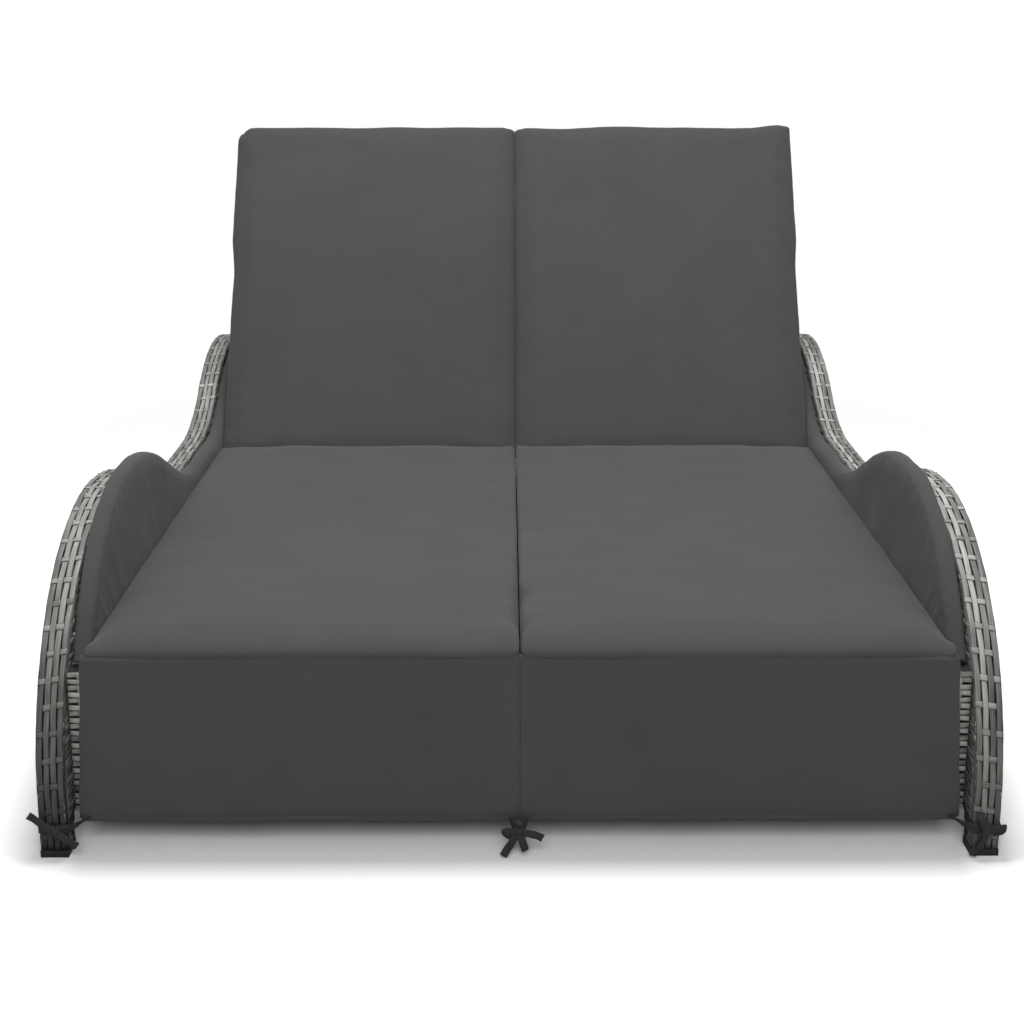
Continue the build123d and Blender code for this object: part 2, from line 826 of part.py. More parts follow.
def tape(start, end, y):
    """A straight end of tape that faces the viewer, from one (x, z) place to another."""
    length = hypot(end[0] - start[0], end[1] - start[1])
    side_x = -(end[1] - start[1]) / length * tape_width / 2
    side_z = (end[0] - start[0]) / length * tape_width / 2
    corners = [
        (start[0] + side_x, y, start[1] + side_z),
        (end[0] + side_x, y, end[1] + side_z),
        (end[0] - side_x, y, end[1] - side_z),
        (start[0] - side_x, y, start[1] - side_z),
    ]
    face = Face(Wire(Polyline(*corners, close=True).edges()))
    return extrude(face, tape_thickness, dir=(0, 1, 0))


def knot(x, z):
    """The knot of a tie, standing out ahead of the leg."""
    rear = front_y - tape_gap
    body = block((x - knot_width / 2, x + knot_width / 2), (front_y - tie_reach, rear),
                 (z - knot_height / 2, z + knot_height / 2))
    return fillet(body.edges().filter_by(Axis.Y), knot_radius)


def leg_loop(x):
    """A loop of tape round a leg, open to the leg by a small gap."""
    z = (tape_height - tape_width / 2, tape_height + tape_width / 2)
    hole_y = (front_y - tape_gap, front_y + panel_thickness + tape_gap)
    hole_x = (x[0] - tape_gap, x[1] + tape_gap)
    outer_y = (hole_y[0] - tape_thickness, hole_y[1] + tape_thickness)
    outer_x = (hole_x[0] - tape_thickness, hole_x[1] + tape_thickness)
    return block(outer_x, outer_y, z) - block(hole_x, hole_y, z)


def flap_strap(side):
    """The stretch of tape from the loop to the flap's hem."""
    x0 = flap_corner_x - tape_width
    x1 = inner_x - tape_gap
    y = (front_y - tape_gap - tape_thickness, front_y - tape_gap)
    z = (tape_height - tape_width / 2, tape_height + tape_width / 2)
    strap = block((min(side * x0, side * x1), max(side * x0, side * x1)), y, z)
    hem_x = (min(side * x0, side * (x0 + tape_width)), max(side * x0, side * (x0 + tape_width)))
    under = block(hem_x, (y[0], hem_tape_y[1]), (z[1] - tape_thickness, z[1]))
    riser = block(hem_x, hem_tape_y, (z[1] - tape_thickness, flap_bottom - tape_gap))
    return strap + under + riser


def side_tie(side, tails):
    """A tie round a leg: loop, strap to the flap, knot and tails given as (reach, rise)."""
    x = (min(side * inner_x, side * half_width), max(side * inner_x, side * half_width))
    knot_x = side * (half_width - leg_knot_place)
    tie = leg_loop(x) + flap_strap(side) + knot(knot_x, tape_height)
    for reach, rise in tails:
        tie = tie + tape((knot_x, tape_height), (knot_x + side * reach, tape_height + rise), tail_y)
    return tie


def centre_tie(tails):
    """The tie between the two flaps, under their meeting corners."""
    tie = knot(0, tape_height)
    y = (front_y - tie_reach / 2, hem_tape_y[1])
    tie = tie + block((-tape_width, tape_width), y, (tape_height, tape_height + tape_thickness))
    tie = tie + block((-tape_width, tape_width), hem_tape_y, (tape_height, flap_bottom - tape_gap))
    for reach, rise in tails:
        tie = tie + tape((0, tape_height), (reach, tape_height + rise), tail_y)
    return tie


def write(node, shape):
    """Writes one node's file."""
    export_step(shape, os.path.join("parts", node + ".step"))


def write_pair(node, shape):
    """Writes a right-hand piece and its mirror image."""
    write("right_" + node, shape)
    write("left_" + node, mirror(shape, about=Plane.YZ))


def main():
    os.makedirs("parts", exist_ok=True)
    tube_envelope = wave_sweep(side_tube_radius)
    rail_radius = bottom_rail_diameter / 2
    rail_plane = Plane(origin=(panel_mid_x, front_y, bottom_rail_z), z_dir=(0, 1, 0))
    post_envelope = tube_envelope + extrude(rail_plane * Circle(rail_radius), panel_length)
    uprights = [drilled(round_post(y, post_envelope)) for y in upright_places]

    write_pair("side_tube", side_tube())
    write_pair("bottom_rail", bottom_rail(tube_envelope))
    write_pair("uprights", joined(uprights))
    write_pair("outer_weave", skin((half_width - weave_thickness, half_width)))
    write_pair("inner_weave", drilled(skin((inner_x, inner_x + weave_thickness))))
    write_pair("edge_weave", edge_weave())
    write_pair("lower_weave", lower_weave(tube_envelope))
    write("foot_caps", both_sides(foot_caps()))
    write("panel_bolts", both_sides(bolts()))

    apron_x = (-inner_x, inner_x)
    front_weave_y = (front_y + apron_front, apron_frame_front)
    rear_weave_y = (rear_frame_back, rear_y - rear_apron_back)
    write("front_apron_frame", apron_frame((apron_frame_front, apron_frame_rear), frame_bottom))
    write("rear_apron_frame", apron_frame((rear_frame_front, rear_frame_back), rear_frame_top))
    write("front_apron_weave", block(apron_x, front_weave_y, (panel_bottom, apron_weave_top)))
    write("rear_apron_weave", block(apron_x, rear_weave_y, (panel_bottom, rear_frame_top)))
    write("centre_beam", centre_beam())

    seat_y = (apron_frame_front, seat_rear)
    write_pair("seat_frame", seat_frame())
    write_pair("seat_weave", block((centre_gap, inner_x), seat_y, (frame_top, deck_top)))
    write_pair("hinge_lugs", hinge_lugs())
    write("hinge_pins", both_sides(hinge_pins()))
    write_pair("side_rail", side_rail())
    write_pair("side_rack", rack((inner_x - bar - rack_thickness, inner_x - bar)))
    write("centre_racks", both_sides(rack((bar / 2, bar / 2 + rack_thickness))))

    write_pair("back_frame", turned(back_frame(), raise_deg))
    write_pair("back_weave", turned(back_weave(), raise_deg))
    write_pair("prop_brackets", turned(prop_brackets(), raise_deg))
    write_pair("prop_pins", turned(prop_pins(), raise_deg))
    write_pair("prop_arms", swung(prop_arms()))
    write_pair("prop_foot_bar", swung(prop_foot_bar()))

    write_pair("seat_cushion", cushion(seat_section))
    write_pair("front_flap", front_flap())
    write_pair("back_cushion", turned(cushion(back_section), raise_deg))
    write_pair("side_pad", side_pad())
    write("left_tie", side_tie(-1, left_tails))
    write("right_tie", side_tie(1, right_tails))
    write("centre_tie", centre_tie(centre_tails))


main()
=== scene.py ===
import json
import math

import bmesh
import bpy
import numpy as np
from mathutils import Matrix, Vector


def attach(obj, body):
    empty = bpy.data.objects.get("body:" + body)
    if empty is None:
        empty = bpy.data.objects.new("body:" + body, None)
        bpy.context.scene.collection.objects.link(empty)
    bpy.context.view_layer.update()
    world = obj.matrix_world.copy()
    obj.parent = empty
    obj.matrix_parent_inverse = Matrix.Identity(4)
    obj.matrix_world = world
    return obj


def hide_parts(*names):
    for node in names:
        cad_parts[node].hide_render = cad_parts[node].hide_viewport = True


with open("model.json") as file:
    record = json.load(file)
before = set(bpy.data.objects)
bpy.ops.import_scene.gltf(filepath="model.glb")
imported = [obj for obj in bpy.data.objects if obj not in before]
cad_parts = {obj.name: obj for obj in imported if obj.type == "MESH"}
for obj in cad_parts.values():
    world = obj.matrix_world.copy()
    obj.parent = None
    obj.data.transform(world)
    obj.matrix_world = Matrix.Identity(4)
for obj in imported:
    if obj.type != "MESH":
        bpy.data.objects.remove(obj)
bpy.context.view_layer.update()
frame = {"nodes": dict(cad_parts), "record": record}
nodes = frame["nodes"]
scene = bpy.context.scene

# Sizes, in metres, as the CAD has them
half_width = 0.700
inner_x = 0.659
panel = 0.041
front_y = -0.993
rear_y = 1.007
cap_height = 0.011
panel_bottom = 0.050
hinge = (0.212, 0.2555)
raise_angle = math.radians(57)
dip_front = front_y + 0.797
dip_rear = front_y + 1.228
front_arch, dip_z, rear_arch = 0.460, 0.331, 0.469
front_fall = (front_arch - dip_z) / math.tan(math.radians(24))
rear_climb = (rear_arch - dip_z) / math.tan(math.radians(34.8))
wave_corners = [
    (front_y, cap_height),
    (front_y, front_arch),
    (dip_front - front_fall, front_arch),
    (dip_front, dip_z),
    (dip_rear, dip_z),
    (dip_rear + rear_climb, rear_arch),
    (rear_y, rear_arch),
    (rear_y, cap_height),
]
wave_shares = [(0.842, 0.745), (0.25, 0.40), (0.46, 0.34), (0.26, 0.46), (0.53, 0.225), (0.765, 0.955)]
lower_corners = [
    (front_y + panel, cap_height),
    (front_y + panel, panel_bottom),
    (rear_y - panel, panel_bottom),
    (rear_y - panel, cap_height),
]
lower_shares = [(0.4, 0.4), (0.4, 0.4)]
path_step = 0.004

# Weave, in metres
strand_pitch = 0.0101
strand_width = 0.0092
strand_thickness = 0.0015
weft_pitch = 0.039
weft_width = 0.0095
wrap_thickness = 0.0011
warp_step = 0.0088
warp_lift = 0.00105
weft_lift = 0.00045
warp_tone, weft_tone = 0.5, 0.62
wander_size, wander_waves, wander_shift = 0.0003, 23, 0.0001
lean_mean, lean_spread = 0.0002, 0.0006
face_margin = 0.0055
face_depth = 0.0022


# Materials


class Nodes:
    """The nodes of a material or of the world. Its makers return output sockets."""

    def __init__(self, owner, shader="Principled BSDF"):
        owner.use_nodes = True
        self.owner = owner
        self.tree = owner.node_tree
        self.shader = self.tree.nodes[shader]

    def feed(self, target, values):
        """Gives each of the target's sockets a value, or the output that it is linked to."""
        for socket, value in values.items():
            if isinstance(value, bpy.types.NodeSocket):
                self.tree.links.new(value, target.inputs[socket])
            else:
                target.inputs[socket].default_value = value

    def shade(self, values):
        """Feeds the shader and returns the material or world."""
        self.feed(self.shader, values)
        return self.owner

    def node(self, kind, values, **settings):
        """A new node with its settings, its sockets then fed."""
        made = self.tree.nodes.new("ShaderNode" + kind)
        for name, setting in settings.items():
            setattr(made, name, setting)
        self.feed(made, values)
        return made

    def attribute(self, name, output):
        return self.node("Attribute", {}, attribute_name=name).outputs[output]

    def place(self):
        return self.node("TexCoord", {}).outputs["Object"]

    def scaled(self, vector, factors):
        return self.node("VectorMath", {0: vector, 1: factors}, operation="MULTIPLY").outputs[0]

    def last(self, vector):
        """The vector's third number."""
        return self.node("SeparateXYZ", {0: vector}).outputs["Z"]

    def math(self, operation, *values):
        return self.node("Math", dict(enumerate(values)), operation=operation).outputs[0]

    def noise(self, vector, scale, detail, roughness=0.5, output="Fac"):
        values = {"Vector": vector, "Scale": scale, "Detail": detail, "Roughness": roughness}
        return self.node("TexNoise", values).outputs[output]

    def wave(self, vector, direction, scale, distortion, **more):
        values = {"Vector": vector, "Scale": scale, "Distortion": distortion, **more}
        return self.node("TexWave", values, bands_direction=direction).outputs["Fac"]

    def ramp(self, factor, stops):
        """A colour ramp with stops of (place, grey or colour)."""
        made = self.node("ValToRGB", {"Fac": factor})
        elements = made.color_ramp.elements
        while len(elements) < len(stops):
            elements.new(0.5)
        for element, (place, colour) in zip(elements, stops):
            element.position = place
            if isinstance(colour, float):
                colour = (colour, colour, colour)
            element.color = (*colour, 1)
        return made.outputs["Color"]

    def mix(self, share, first, second, blend="MIX"):
        values = {0: share, "A": first, "B": second}
        return self.node("Mix", values, data_type="RGBA", blend_type=blend).outputs["Result"]

    def bump(self, height, strength, distance, under=None):
        """A bump of a height, over another one where that is given."""
        values = {"Height": height, "Strength": strength, "Distance": distance}
        if under is not None:
            values["Normal"] = under
        return self.node("Bump", values).outputs["Normal"]


def grey(level):
    """An opaque grey."""
    return (level, level, level, 1)


def shades(colour, *shares):
    """The colour times each share."""
    return [tuple(min(1.0, part * share) for part in colour) for share in shares]


def wicker_material(name, darker, shade_by_height):
    """Flat resin strands with fine lengthwise streaks, whose tone differs from strand to strand.

    Their rims are darkened as painted shade, for the gaps where they tuck under each other. Near the floor
    they are darker, as painted shade: the height ramp has pairs of height and share of the full colour.
    """
    tone_range, blotch_range = 0.42, 0.64
    paint = Nodes(bpy.data.materials.new(name))
    grain = paint.attribute("grain", "Vector")
    streaks = paint.noise(paint.scaled(grain, (28, 1500, 90)), 1.0, 4.0, 0.65)
    blotches = paint.noise(paint.scaled(grain, (9, 60, 40)), 1.0, 2.0)
    tone = paint.math("MULTIPLY_ADD", paint.last(grain), tone_range, -tone_range / 2 - darker)
    lowered = paint.math("SUBTRACT", paint.math("ADD", streaks, tone), blotch_range / 2)
    colours = paint.ramp(paint.math("MULTIPLY_ADD", blotches, blotch_range, lowered), [
        (0.16, (0.115, 0.110, 0.102)),
        (0.38, (0.270, 0.262, 0.246)),
        (0.54, (0.480, 0.469, 0.443)),
        (0.72, (0.700, 0.686, 0.653)),
        (0.90, (0.820, 0.807, 0.774)),
    ])
    # Painted shade: the colour gets darker towards the floor, by the height ramp.
    shaded = paint.mix(1.0, colours, paint.ramp(paint.last(paint.place()), shade_by_height), "MULTIPLY")
    # Painted shade: each strand darkens towards its rims, for the shaded gaps between strands.
    painted_rim_shade = paint.ramp(paint.attribute("rim", "Fac"), [(0.70, 1.0), (0.86, 0.52), (1.0, 0.22)])
    return paint.shade({
        "Base Color": paint.mix(1.0, shaded, painted_rim_shade, "MULTIPLY"),
        "Roughness": paint.ramp(streaks, [(0.3, 0.62), (0.75, 0.46)]),
        "Normal": paint.bump(streaks, 0.35, 0.0004),
    })


def fabric_material(name, colour):
    """Smooth woven polyester: fine crossed threads, faint mottling and a soft sheen."""
    thread_scale = 1400.0 / 6.2832
    paint = Nodes(bpy.data.materials.new(name))
    place = paint.place()
    light, dark = shades(colour, 1.045, 0.955)
    mottled = paint.ramp(paint.noise(place, 7.0, 6.0, 0.6), [(0.32, dark), (0.68, light)])
    slubs = paint.mix(0.25, mottled, paint.noise(place, 900.0, 2.0, output="Color"), "MULTIPLY")
    along, across, upright = [
        paint.wave(place, direction, thread_scale, 0.6, Detail=1.0, **{"Detail Scale": 3.0})
        for direction in "XYZ"]
    threads = paint.math("ADD", paint.math("ADD", along, across), upright)
    soft = paint.noise(place, 16.0, 3.0)
    return paint.shade({
        "Base Color": paint.mix(0.12, slubs, mottled, "ADD"),
        "Normal": paint.bump(soft, 0.07, 0.004, paint.bump(threads, 0.10, 0.0002)),
        "Roughness": 0.86,
        "Specular IOR Level": 0.28,
        "Sheen Weight": 0.10,
        "Sheen Roughness": 0.5,
    })


def tape_material(name):
    """Black woven tape with ribs across it."""
    paint = Nodes(bpy.data.materials.new(name))
    ribs = paint.wave(paint.scaled(paint.attribute("grain", "Vector"), (1, 1, 0)), "X", 190.0, 0.4)
    return paint.shade({
        "Base Color": paint.ramp(ribs, [(0.2, (0.012, 0.012, 0.013)), (0.8, (0.034, 0.034, 0.036))]),
        "Normal": paint.bump(ribs, 0.35, 0.0003),
        "Roughness": 0.8,
    })


def coated_material(name, colour, roughness, metallic, grain_scale, strength):
    """Powder coat, zinc plate or moulded plastic: a fine grain, with faint wear in the colour."""
    paint = Nodes(bpy.data.materials.new(name))
    place = paint.place()
    worn = paint.noise(place, 11.0, 7.0, 0.7)
    light, dark = shades(colour, 1.25, 0.85)
    return paint.shade({
        "Base Color": paint.ramp(worn, [(0.35, dark), (0.7, light)]),
        "Roughness": paint.ramp(worn, [(0.35, roughness - 0.06), (0.7, roughness + 0.08)]),
        "Normal": paint.bump(paint.noise(place, grain_scale, 5.0), strength, 0.0003),
        "Metallic": metallic,
    })


# Shares of the full colour by height: painted shade that darkens each wicker towards the floor, darkest on
# the left arm, which stands in shade.
right_shade_by_height = [(0.03, 0.40), (0.15, 0.60), (0.24, 0.78), (0.34, 0.96), (0.46, 1.0)]
left_shade_by_height = [(0.03, 0.07), (0.07, 0.15), (0.15, 0.30), (0.24, 0.50), (0.34, 0.94), (0.46, 1.0)]
pale_shade_by_height = [(0.03, 0.60), (0.15, 0.85), (0.26, 1.0)]
wicker = wicker_material("wicker_strands", 0.02, right_shade_by_height)
# A darker, shaded copy of the wicker, whose painted shade is strongest low down: for the left arm's band
# and both lower bands.
wicker_painted_shade = wicker_material("wicker_strands_shaded", 0.04, left_shade_by_height)
wicker_pale = wicker_material("wicker_strands_pale", -0.06, pale_shade_by_height)
fabric = fabric_material("charcoal_fabric", (0.088, 0.088, 0.0895))
tape = tape_material("tie_tape_woven")
steel_coat = coated_material("frame_powder_coat", (0.030, 0.030, 0.032), 0.42, 0.0, 1600.0, 0.25)
zinc = coated_material("zinc_plate", (0.52, 0.52, 0.53), 0.34, 1.0, 900.0, 0.12)
plastic = coated_material("foot_plastic_moulded", (0.013, 0.013, 0.014), 0.48, 0.0, 700.0, 0.3)
finishes = {"frame_steel": steel_coat, "fastener_steel": zinc, "foot_plastic": plastic}

for subpart in frame["record"]["subparts"]:
    carried = nodes[subpart["node"]]
    carried.data.materials.clear()
    carried.data.materials.append(finishes.get(subpart["material_slot"], steel_coat))


# Strands

ribbon_section = [
    (0.5, 0.0), (0.38, 0.42), (0.0, 0.5), (-0.38, 0.42), (-0.5, 0.0), (-0.36, -0.42), (0.36, -0.42)]
grain_shift = 7


def unit(vectors):
    """Rows scaled to length 1."""
    return vectors / np.maximum(np.linalg.norm(vectors, axis=1, keepdims=True), 1e-12)


def lengths_along(points):
    """The length of a run from its start to each of its points."""
    return np.concatenate([[0], np.cumsum(np.linalg.norm(np.diff(points, axis=0), axis=1))])


def smooth(mesh):
    """Shades the whole mesh smooth."""
    mesh.polygons.foreach_set("use_smooth", np.ones(len(mesh.polygons), dtype=bool))


def new_object(name, data):
    """A new object in the scene."""
    made = bpy.data.objects.new(name, data)
    scene.collection.objects.link(made)
    return made


def dressed(obj, node, body, material):
    """Gives a piece its material, puts it on the body it rides on, and hides the CAD node it stands for.
    """
    obj.data.materials.clear()
    obj.data.materials.append(material)
    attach(obj, body)
    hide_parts(node)


def strand_piece(name, node, body, strands, material):
    """One mesh of flat strands, each (points, sides, width, thickness, tone)."""
    section = np.array(ribbon_section)
    count = len(section)
    all_points, all_grain, all_rims, quads, caps = [], [], [], [], []
    start = 0
    for points, sides, width, thickness, tone in strands:
        tangents = unit(np.gradient(points, axis=0))
        normals = unit(np.cross(tangents, sides))
        across = np.cross(normals, tangents)
        rings = (points[:, None] + across[:, None] * (section[:, 0] * width)[None, :, None]
                 + normals[:, None] * (section[:, 1] * thickness)[None, :, None])
        grain = np.empty((len(points), count, 3))
        grain[:, :, 0] = lengths_along(points)[:, None] + tone * grain_shift
        grain[:, :, 1] = section[:, 0] * width
        grain[:, :, 2] = tone
        steps = len(points) - 1
        row = start + np.arange(steps)[:, None] * count
        column = np.arange(count)[None, :]
        following = (column + 1) % count
        corners = [row + column, row + following, row + count + following, row + count + column]
        quads.append(np.stack(corners, -1).reshape(-1, 4))
        caps.append(start + np.arange(count)[::-1])
        caps.append(start + steps * count + np.arange(count))
        all_points.append(rings.reshape(-1, 3))
        all_grain.append(grain.reshape(-1, 3))
        all_rims.append(np.tile(np.abs(section[:, 0]) * 2, len(points)))
        start += len(points) * count
    quads = np.concatenate(quads)
    mesh = bpy.data.meshes.new(name)
    mesh.vertices.add(start)
    mesh.vertices.foreach_set("co", np.concatenate(all_points).astype(np.float32).ravel())
    corners = np.concatenate([quads.ravel(), np.array(caps).ravel()]).astype(np.int32)
    mesh.loops.add(len(corners))
    mesh.loops.foreach_set("vertex_index", corners)
    mesh.polygons.add(len(quads) + len(caps))
    starts = np.concatenate([np.arange(len(quads)) * 4, len(quads) * 4 + np.arange(len(caps)) * count])
    mesh.polygons.foreach_set("loop_start", starts.astype(np.int32))
    smooth(mesh)
    mesh.update(calc_edges=True)
    mesh.validate()
    for attribute, kind, field, values in (("grain", "FLOAT_VECTOR", "vector", all_grain),
                                           ("rim", "FLOAT", "value", all_rims)):
        added = mesh.attributes.new(attribute, kind, "POINT")
        added.data.foreach_set(field, np.concatenate(values).astype(np.float32).ravel())
    dressed(new_object(name, mesh), node, body, material)


def rounded_path(corners, shares):
    """Evenly spaced (y, z) points along a run with rounded corners, with their tangents."""
    corners = [np.array(corner, float) for corner in corners]
    dense = [corners[0]]
    for index in range(1, len(corners) - 1):
        before = corners[index] - corners[index - 1]
        after = corners[index + 1] - corners[index]
        share_before, share_after = shares[index - 1]
        tangent = min(share_before * np.linalg.norm(before), share_after * np.linalg.norm(after))
        before, after = before / np.linalg.norm(before), after / np.linalg.norm(after)
        turn = math.atan2(before[0] * after[1] - before[1] * after[0], before @ after)
        radius = tangent / math.tan(abs(turn) / 2)
        side = np.array([-before[1], before[0]]) * math.copysign(1, turn)
        centre = corners[index] - before * tangent + side * radius
        for angle in np.linspace(0, abs(turn), 40):
            dense.append(centre - side * radius * math.cos(angle) + before * radius * math.sin(angle))
    dense.append(corners[-1])
    dense = np.array(dense)
    along = lengths_along(dense)
    keep = np.concatenate([[True], np.diff(along) > 1e-7])
    dense, along = dense[keep], along[keep]
    places = np.linspace(0, along[-1], int(along[-1] / path_step) + 1)
    points = np.stack([np.interp(places, along, dense[:, axis]) for axis in (0, 1)], -1)
    return places, points, unit(np.gradient(points, axis=0))


def strand(place, along, across, out, width, thickness, tone, lateral):
    """A strand through the given coordinates, its width running the way that lateral names.

    Place maps (along, across, out) to points, for strands that follow a bent or flat surface.
    """
    spots = np.array(np.broadcast_arrays(along, across, out), float)
    shift = np.zeros((3, 1))
    shift[("along", "across", "out").index(lateral)] = 0.0005
    sides = place(*(spots + shift)) - place(*(spots - shift))
    return place(*spots), unit(sides), width, thickness, tone


def plain_weave(place, rng, spans, weft_spans, pitch, wefts, depth, width=strand_width,
                lift=warp_lift, spread=0.22, row_tone_and_shade=None):
    """Warps at each (row, across, start, end), crossed by wefts at each (column, along, low, high)."""
    made = []
    first, gap = wefts[0], wefts[1] - wefts[0]
    for row, across, start, end in spans:
        along = np.linspace(start, end, max(4, int((end - start) / warp_step)))
        shade = warp_tone + rng.normal() * spread + (row_tone_and_shade[row] if row_tone_and_shade else 0)
        out = -depth + lift * np.cos(math.pi * ((along - first) / gap + row))
        wander = wander_size * np.sin(along * wander_waves + rng.uniform(0, 6))
        wander = wander + rng.normal() * wander_shift
        made.append(strand(place, along, across + wander, out, width * rng.uniform(0.96, 1.03),
                           strand_thickness, shade, "across"))
    for column, along, low, high in weft_spans:
        across = np.linspace(low, high, max(4, int((high - low) / (pitch / 3))))
        out = -depth - weft_lift * np.cos(math.pi * (across / pitch + column))
        shade = weft_tone + rng.normal() * spread
        lean = (rng.normal() * lean_spread + lean_mean) * np.linspace(-1, 1, len(across))
        made.append(strand(place, along + lean, across, out, weft_width * rng.uniform(0.94, 1.04),
                           strand_thickness, shade, "along"))
    return made


def mirrored(place, side):
    """The place on the right (1) or the left (-1) side."""
    def on_side(along, across, out):
        return place(along, across, out) * np.array([side, 1, 1])

    return on_side


def edge_place(corners, shares, side):
    """The place over the panel's edge (along its path, across its thickness, out) and its length."""
    places, points, tangents = rounded_path(corners, shares)
    outward = np.stack([-tangents[:, 1], tangents[:, 0]], -1)

    def place(along, across, out):
        y = np.interp(along, places, points[:, 0]) + out * np.interp(along, places, outward[:, 0])
        z = np.interp(along, places, points[:, 1]) + out * np.interp(along, places, outward[:, 1])
        return np.stack([across, y, z], -1)

    return mirrored(place, side), places[-1]


def edge_band(name, node, corners, shares, side, seed, material, row_tone_and_shade, reach):
    """The band of four strands along an edge of the panel.

    Its crossing strands turn down over both faces, as far as the reach, and a bead runs
    along each rim.
    """
    depth, pitch, margin, slant, lift = 0.0021, 0.01, 0.0055, 0.0042, 0.00055
    first_weft, weft_end_gap, end_gap, side_gap = 0.022, 0.008, 0.0004, 0.0008
    bead_edge, bead_depth, bead_width, bead_thickness, bead_step = 0.0011, 0.0078, 0.0124, 0.0012, 0.0066
    rng = np.random.default_rng(seed)
    place, length = edge_place(corners, shares, side)
    wefts = np.arange(first_weft, length - weft_end_gap, weft_pitch)
    gap = wefts[1] - wefts[0]
    rows = [inner_x + margin + row * pitch for row in range(4)]
    spans = [(row, across, end_gap, length - end_gap) for row, across in enumerate(rows)]
    strands = plain_weave(place, rng, spans, [], pitch, wefts, depth, row_tone_and_shade=row_tone_and_shade)
    low, high = inner_x + side_gap, half_width - side_gap
    turn = np.array([0, 0, 0.0003, 0.0012])
    flat = np.linspace(low + 0.003, high - 0.003, 19)
    across = np.concatenate([low + turn, flat, high - turn[::-1]])
    turn_fall = np.array([reach, 0.006, 0.0036, 0.0018])
    fall = np.concatenate([turn_fall, 0 * flat, turn_fall[::-1]])
    for column, along in enumerate(wefts):
        shade = weft_tone + rng.normal() * 0.16
        over = -depth - lift * np.cos(math.pi * ((across - rows[0]) / pitch + column))
        out = np.where(fall > 0, -fall - 0.0004, over)
        lean = (slant + rng.normal() * 0.0007) * np.linspace(-1, 1, len(across))
        strands.append(strand(place, along + rng.normal() * 0.0006 - lean, across, out,
                              weft_width * rng.uniform(0.94, 1.05), wrap_thickness, shade, "along"))
    for edge in (inner_x + bead_edge, half_width - bead_edge):
        along = np.linspace(0.001, length - 0.001, int(length / bead_step))
        out = -bead_depth + 0.0002 * np.sin(along * 31 + edge)
        ripple = 0.0004 * np.cos(math.pi * (along - wefts[0]) / gap)
        strands.append(strand(place, along, edge + ripple, out, bead_width, bead_thickness,
                              0.45 + rng.normal() * 0.1, "out"))
    strand_piece(name, node, "root", strands, material)


def panel_top():
    """The places along Y, and the height of the panel's top edge at each."""
    cells = 1199
    _, points, _ = rounded_path(wave_corners, wave_shares)
    ys, zs = points.T
    grid = np.linspace(front_y, rear_y, cells + 1)
    slots = np.clip(((ys - front_y) / ((rear_y - front_y) / cells)).round().astype(int), 0, cells)
    heights = np.zeros(cells + 1)
    np.maximum.at(heights, slots, zs)
    known = heights > 0
    return grid, np.interp(grid, grid[known], heights[known])


def skin(name, node, x, outward, side, seed):
    """A woven face of the panel, clipped to the wave and to the legs.

    Its strands run along Y, and upright ones cross them.
    """
    warp_width, lift, weft_reach = 0.0098, 0.0009, 0.0055
    end_gap, top_gap, weft_top_gap, rail_gap = 0.002, 0.0045, 0.004, 0.003
    shortest_warp, shortest_weft = 0.02, 0.03
    first_z = cap_height + face_margin
    rng = np.random.default_rng(seed)
    grid, heights = panel_top()

    def place(along, across, out):
        return np.stack([x + outward * out, along, across], -1)

    def weft_place(along, across, out):
        return place(along, across + first_z, out)

    wefts = np.arange(front_y + panel / 2, rear_y - 0.01, weft_pitch)
    spans = []
    for row in range(int((rear_arch - cap_height) / strand_pitch)):
        z = first_z + row * strand_pitch
        inside = heights > z + top_gap
        if z < panel_bottom + rail_gap:
            inside &= (grid < front_y + panel) | (grid > rear_y - panel)
        edges = np.flatnonzero(np.diff(np.concatenate([[0], inside.astype(int), [0]])))
        for start, end in zip(edges[::2], edges[1::2]):
            low, high = grid[start] + end_gap, grid[end - 1] - end_gap
            if high - low > shortest_warp:
                spans.append((row, z, low, high))
    weft_spans = []
    for column, along in enumerate(wefts):
        leg = along < front_y + panel or along > rear_y - panel
        low = cap_height + end_gap / 2 if leg else panel_bottom + end_gap
        high = np.interp([along - weft_reach, along + weft_reach], grid, heights).min() - weft_top_gap
        if high - low > shortest_weft:
            weft_spans.append((column, along, low - first_z, high - first_z))
    strands = plain_weave(mirrored(place, side), rng, spans, [], strand_pitch, wefts, face_depth,
                          width=warp_width, lift=lift)
    strands += plain_weave(mirrored(weft_place, side), rng, [], weft_spans, strand_pitch, wefts,
                           face_depth)
    strand_piece(name, node, "root", strands, wicker_pale)


def frame_wraps(place, rng, size, rows, width, depth, bar, drop, rest_rows):
    """Strands wrapped round the frame of a flat panel, at each row and then along its other sides.

    The wraps between the two rest_rows stop at the frame's side, where its underside comes to rest.
    """
    turn, under, over, side = 0.0022, -drop - 0.0012, -depth + 0.0005, -0.0011
    profile = [(bar - 0.002, under), (turn, under), (0.0004, under + 0.0006), (side, -drop + turn),
               (side - 0.0001, -drop / 2), (side, -depth - turn), (0.0002, -depth - 0.0004),
               (turn, over), (0.012, over)]
    side_point = 3
    inward, outs = np.array(profile).T

    def wraps(far_edge, at, first, lateral):
        """The wraps of one strand at both edges, from a first point of the profile."""
        for edge, sign in ((0.0, 1), (far_edge, -1)):
            run = edge + sign * inward[first:]
            along, across = (run, at) if lateral == "across" else (at, run)
            yield strand(place, along, across, outs[first:], width * rng.uniform(0.95, 1.0),
                         wrap_thickness, warp_tone + rng.normal() * 0.2, lateral)

    made = []
    for across in rows:
        first = side_point if rest_rows[0] < across < rest_rows[1] else 0
        made += wraps(size[0], across, first, "across")
    for along in np.arange(bar + 0.006, size[0] - bar, strand_pitch):
        made += wraps(size[1], along, 0, "along")
    return made


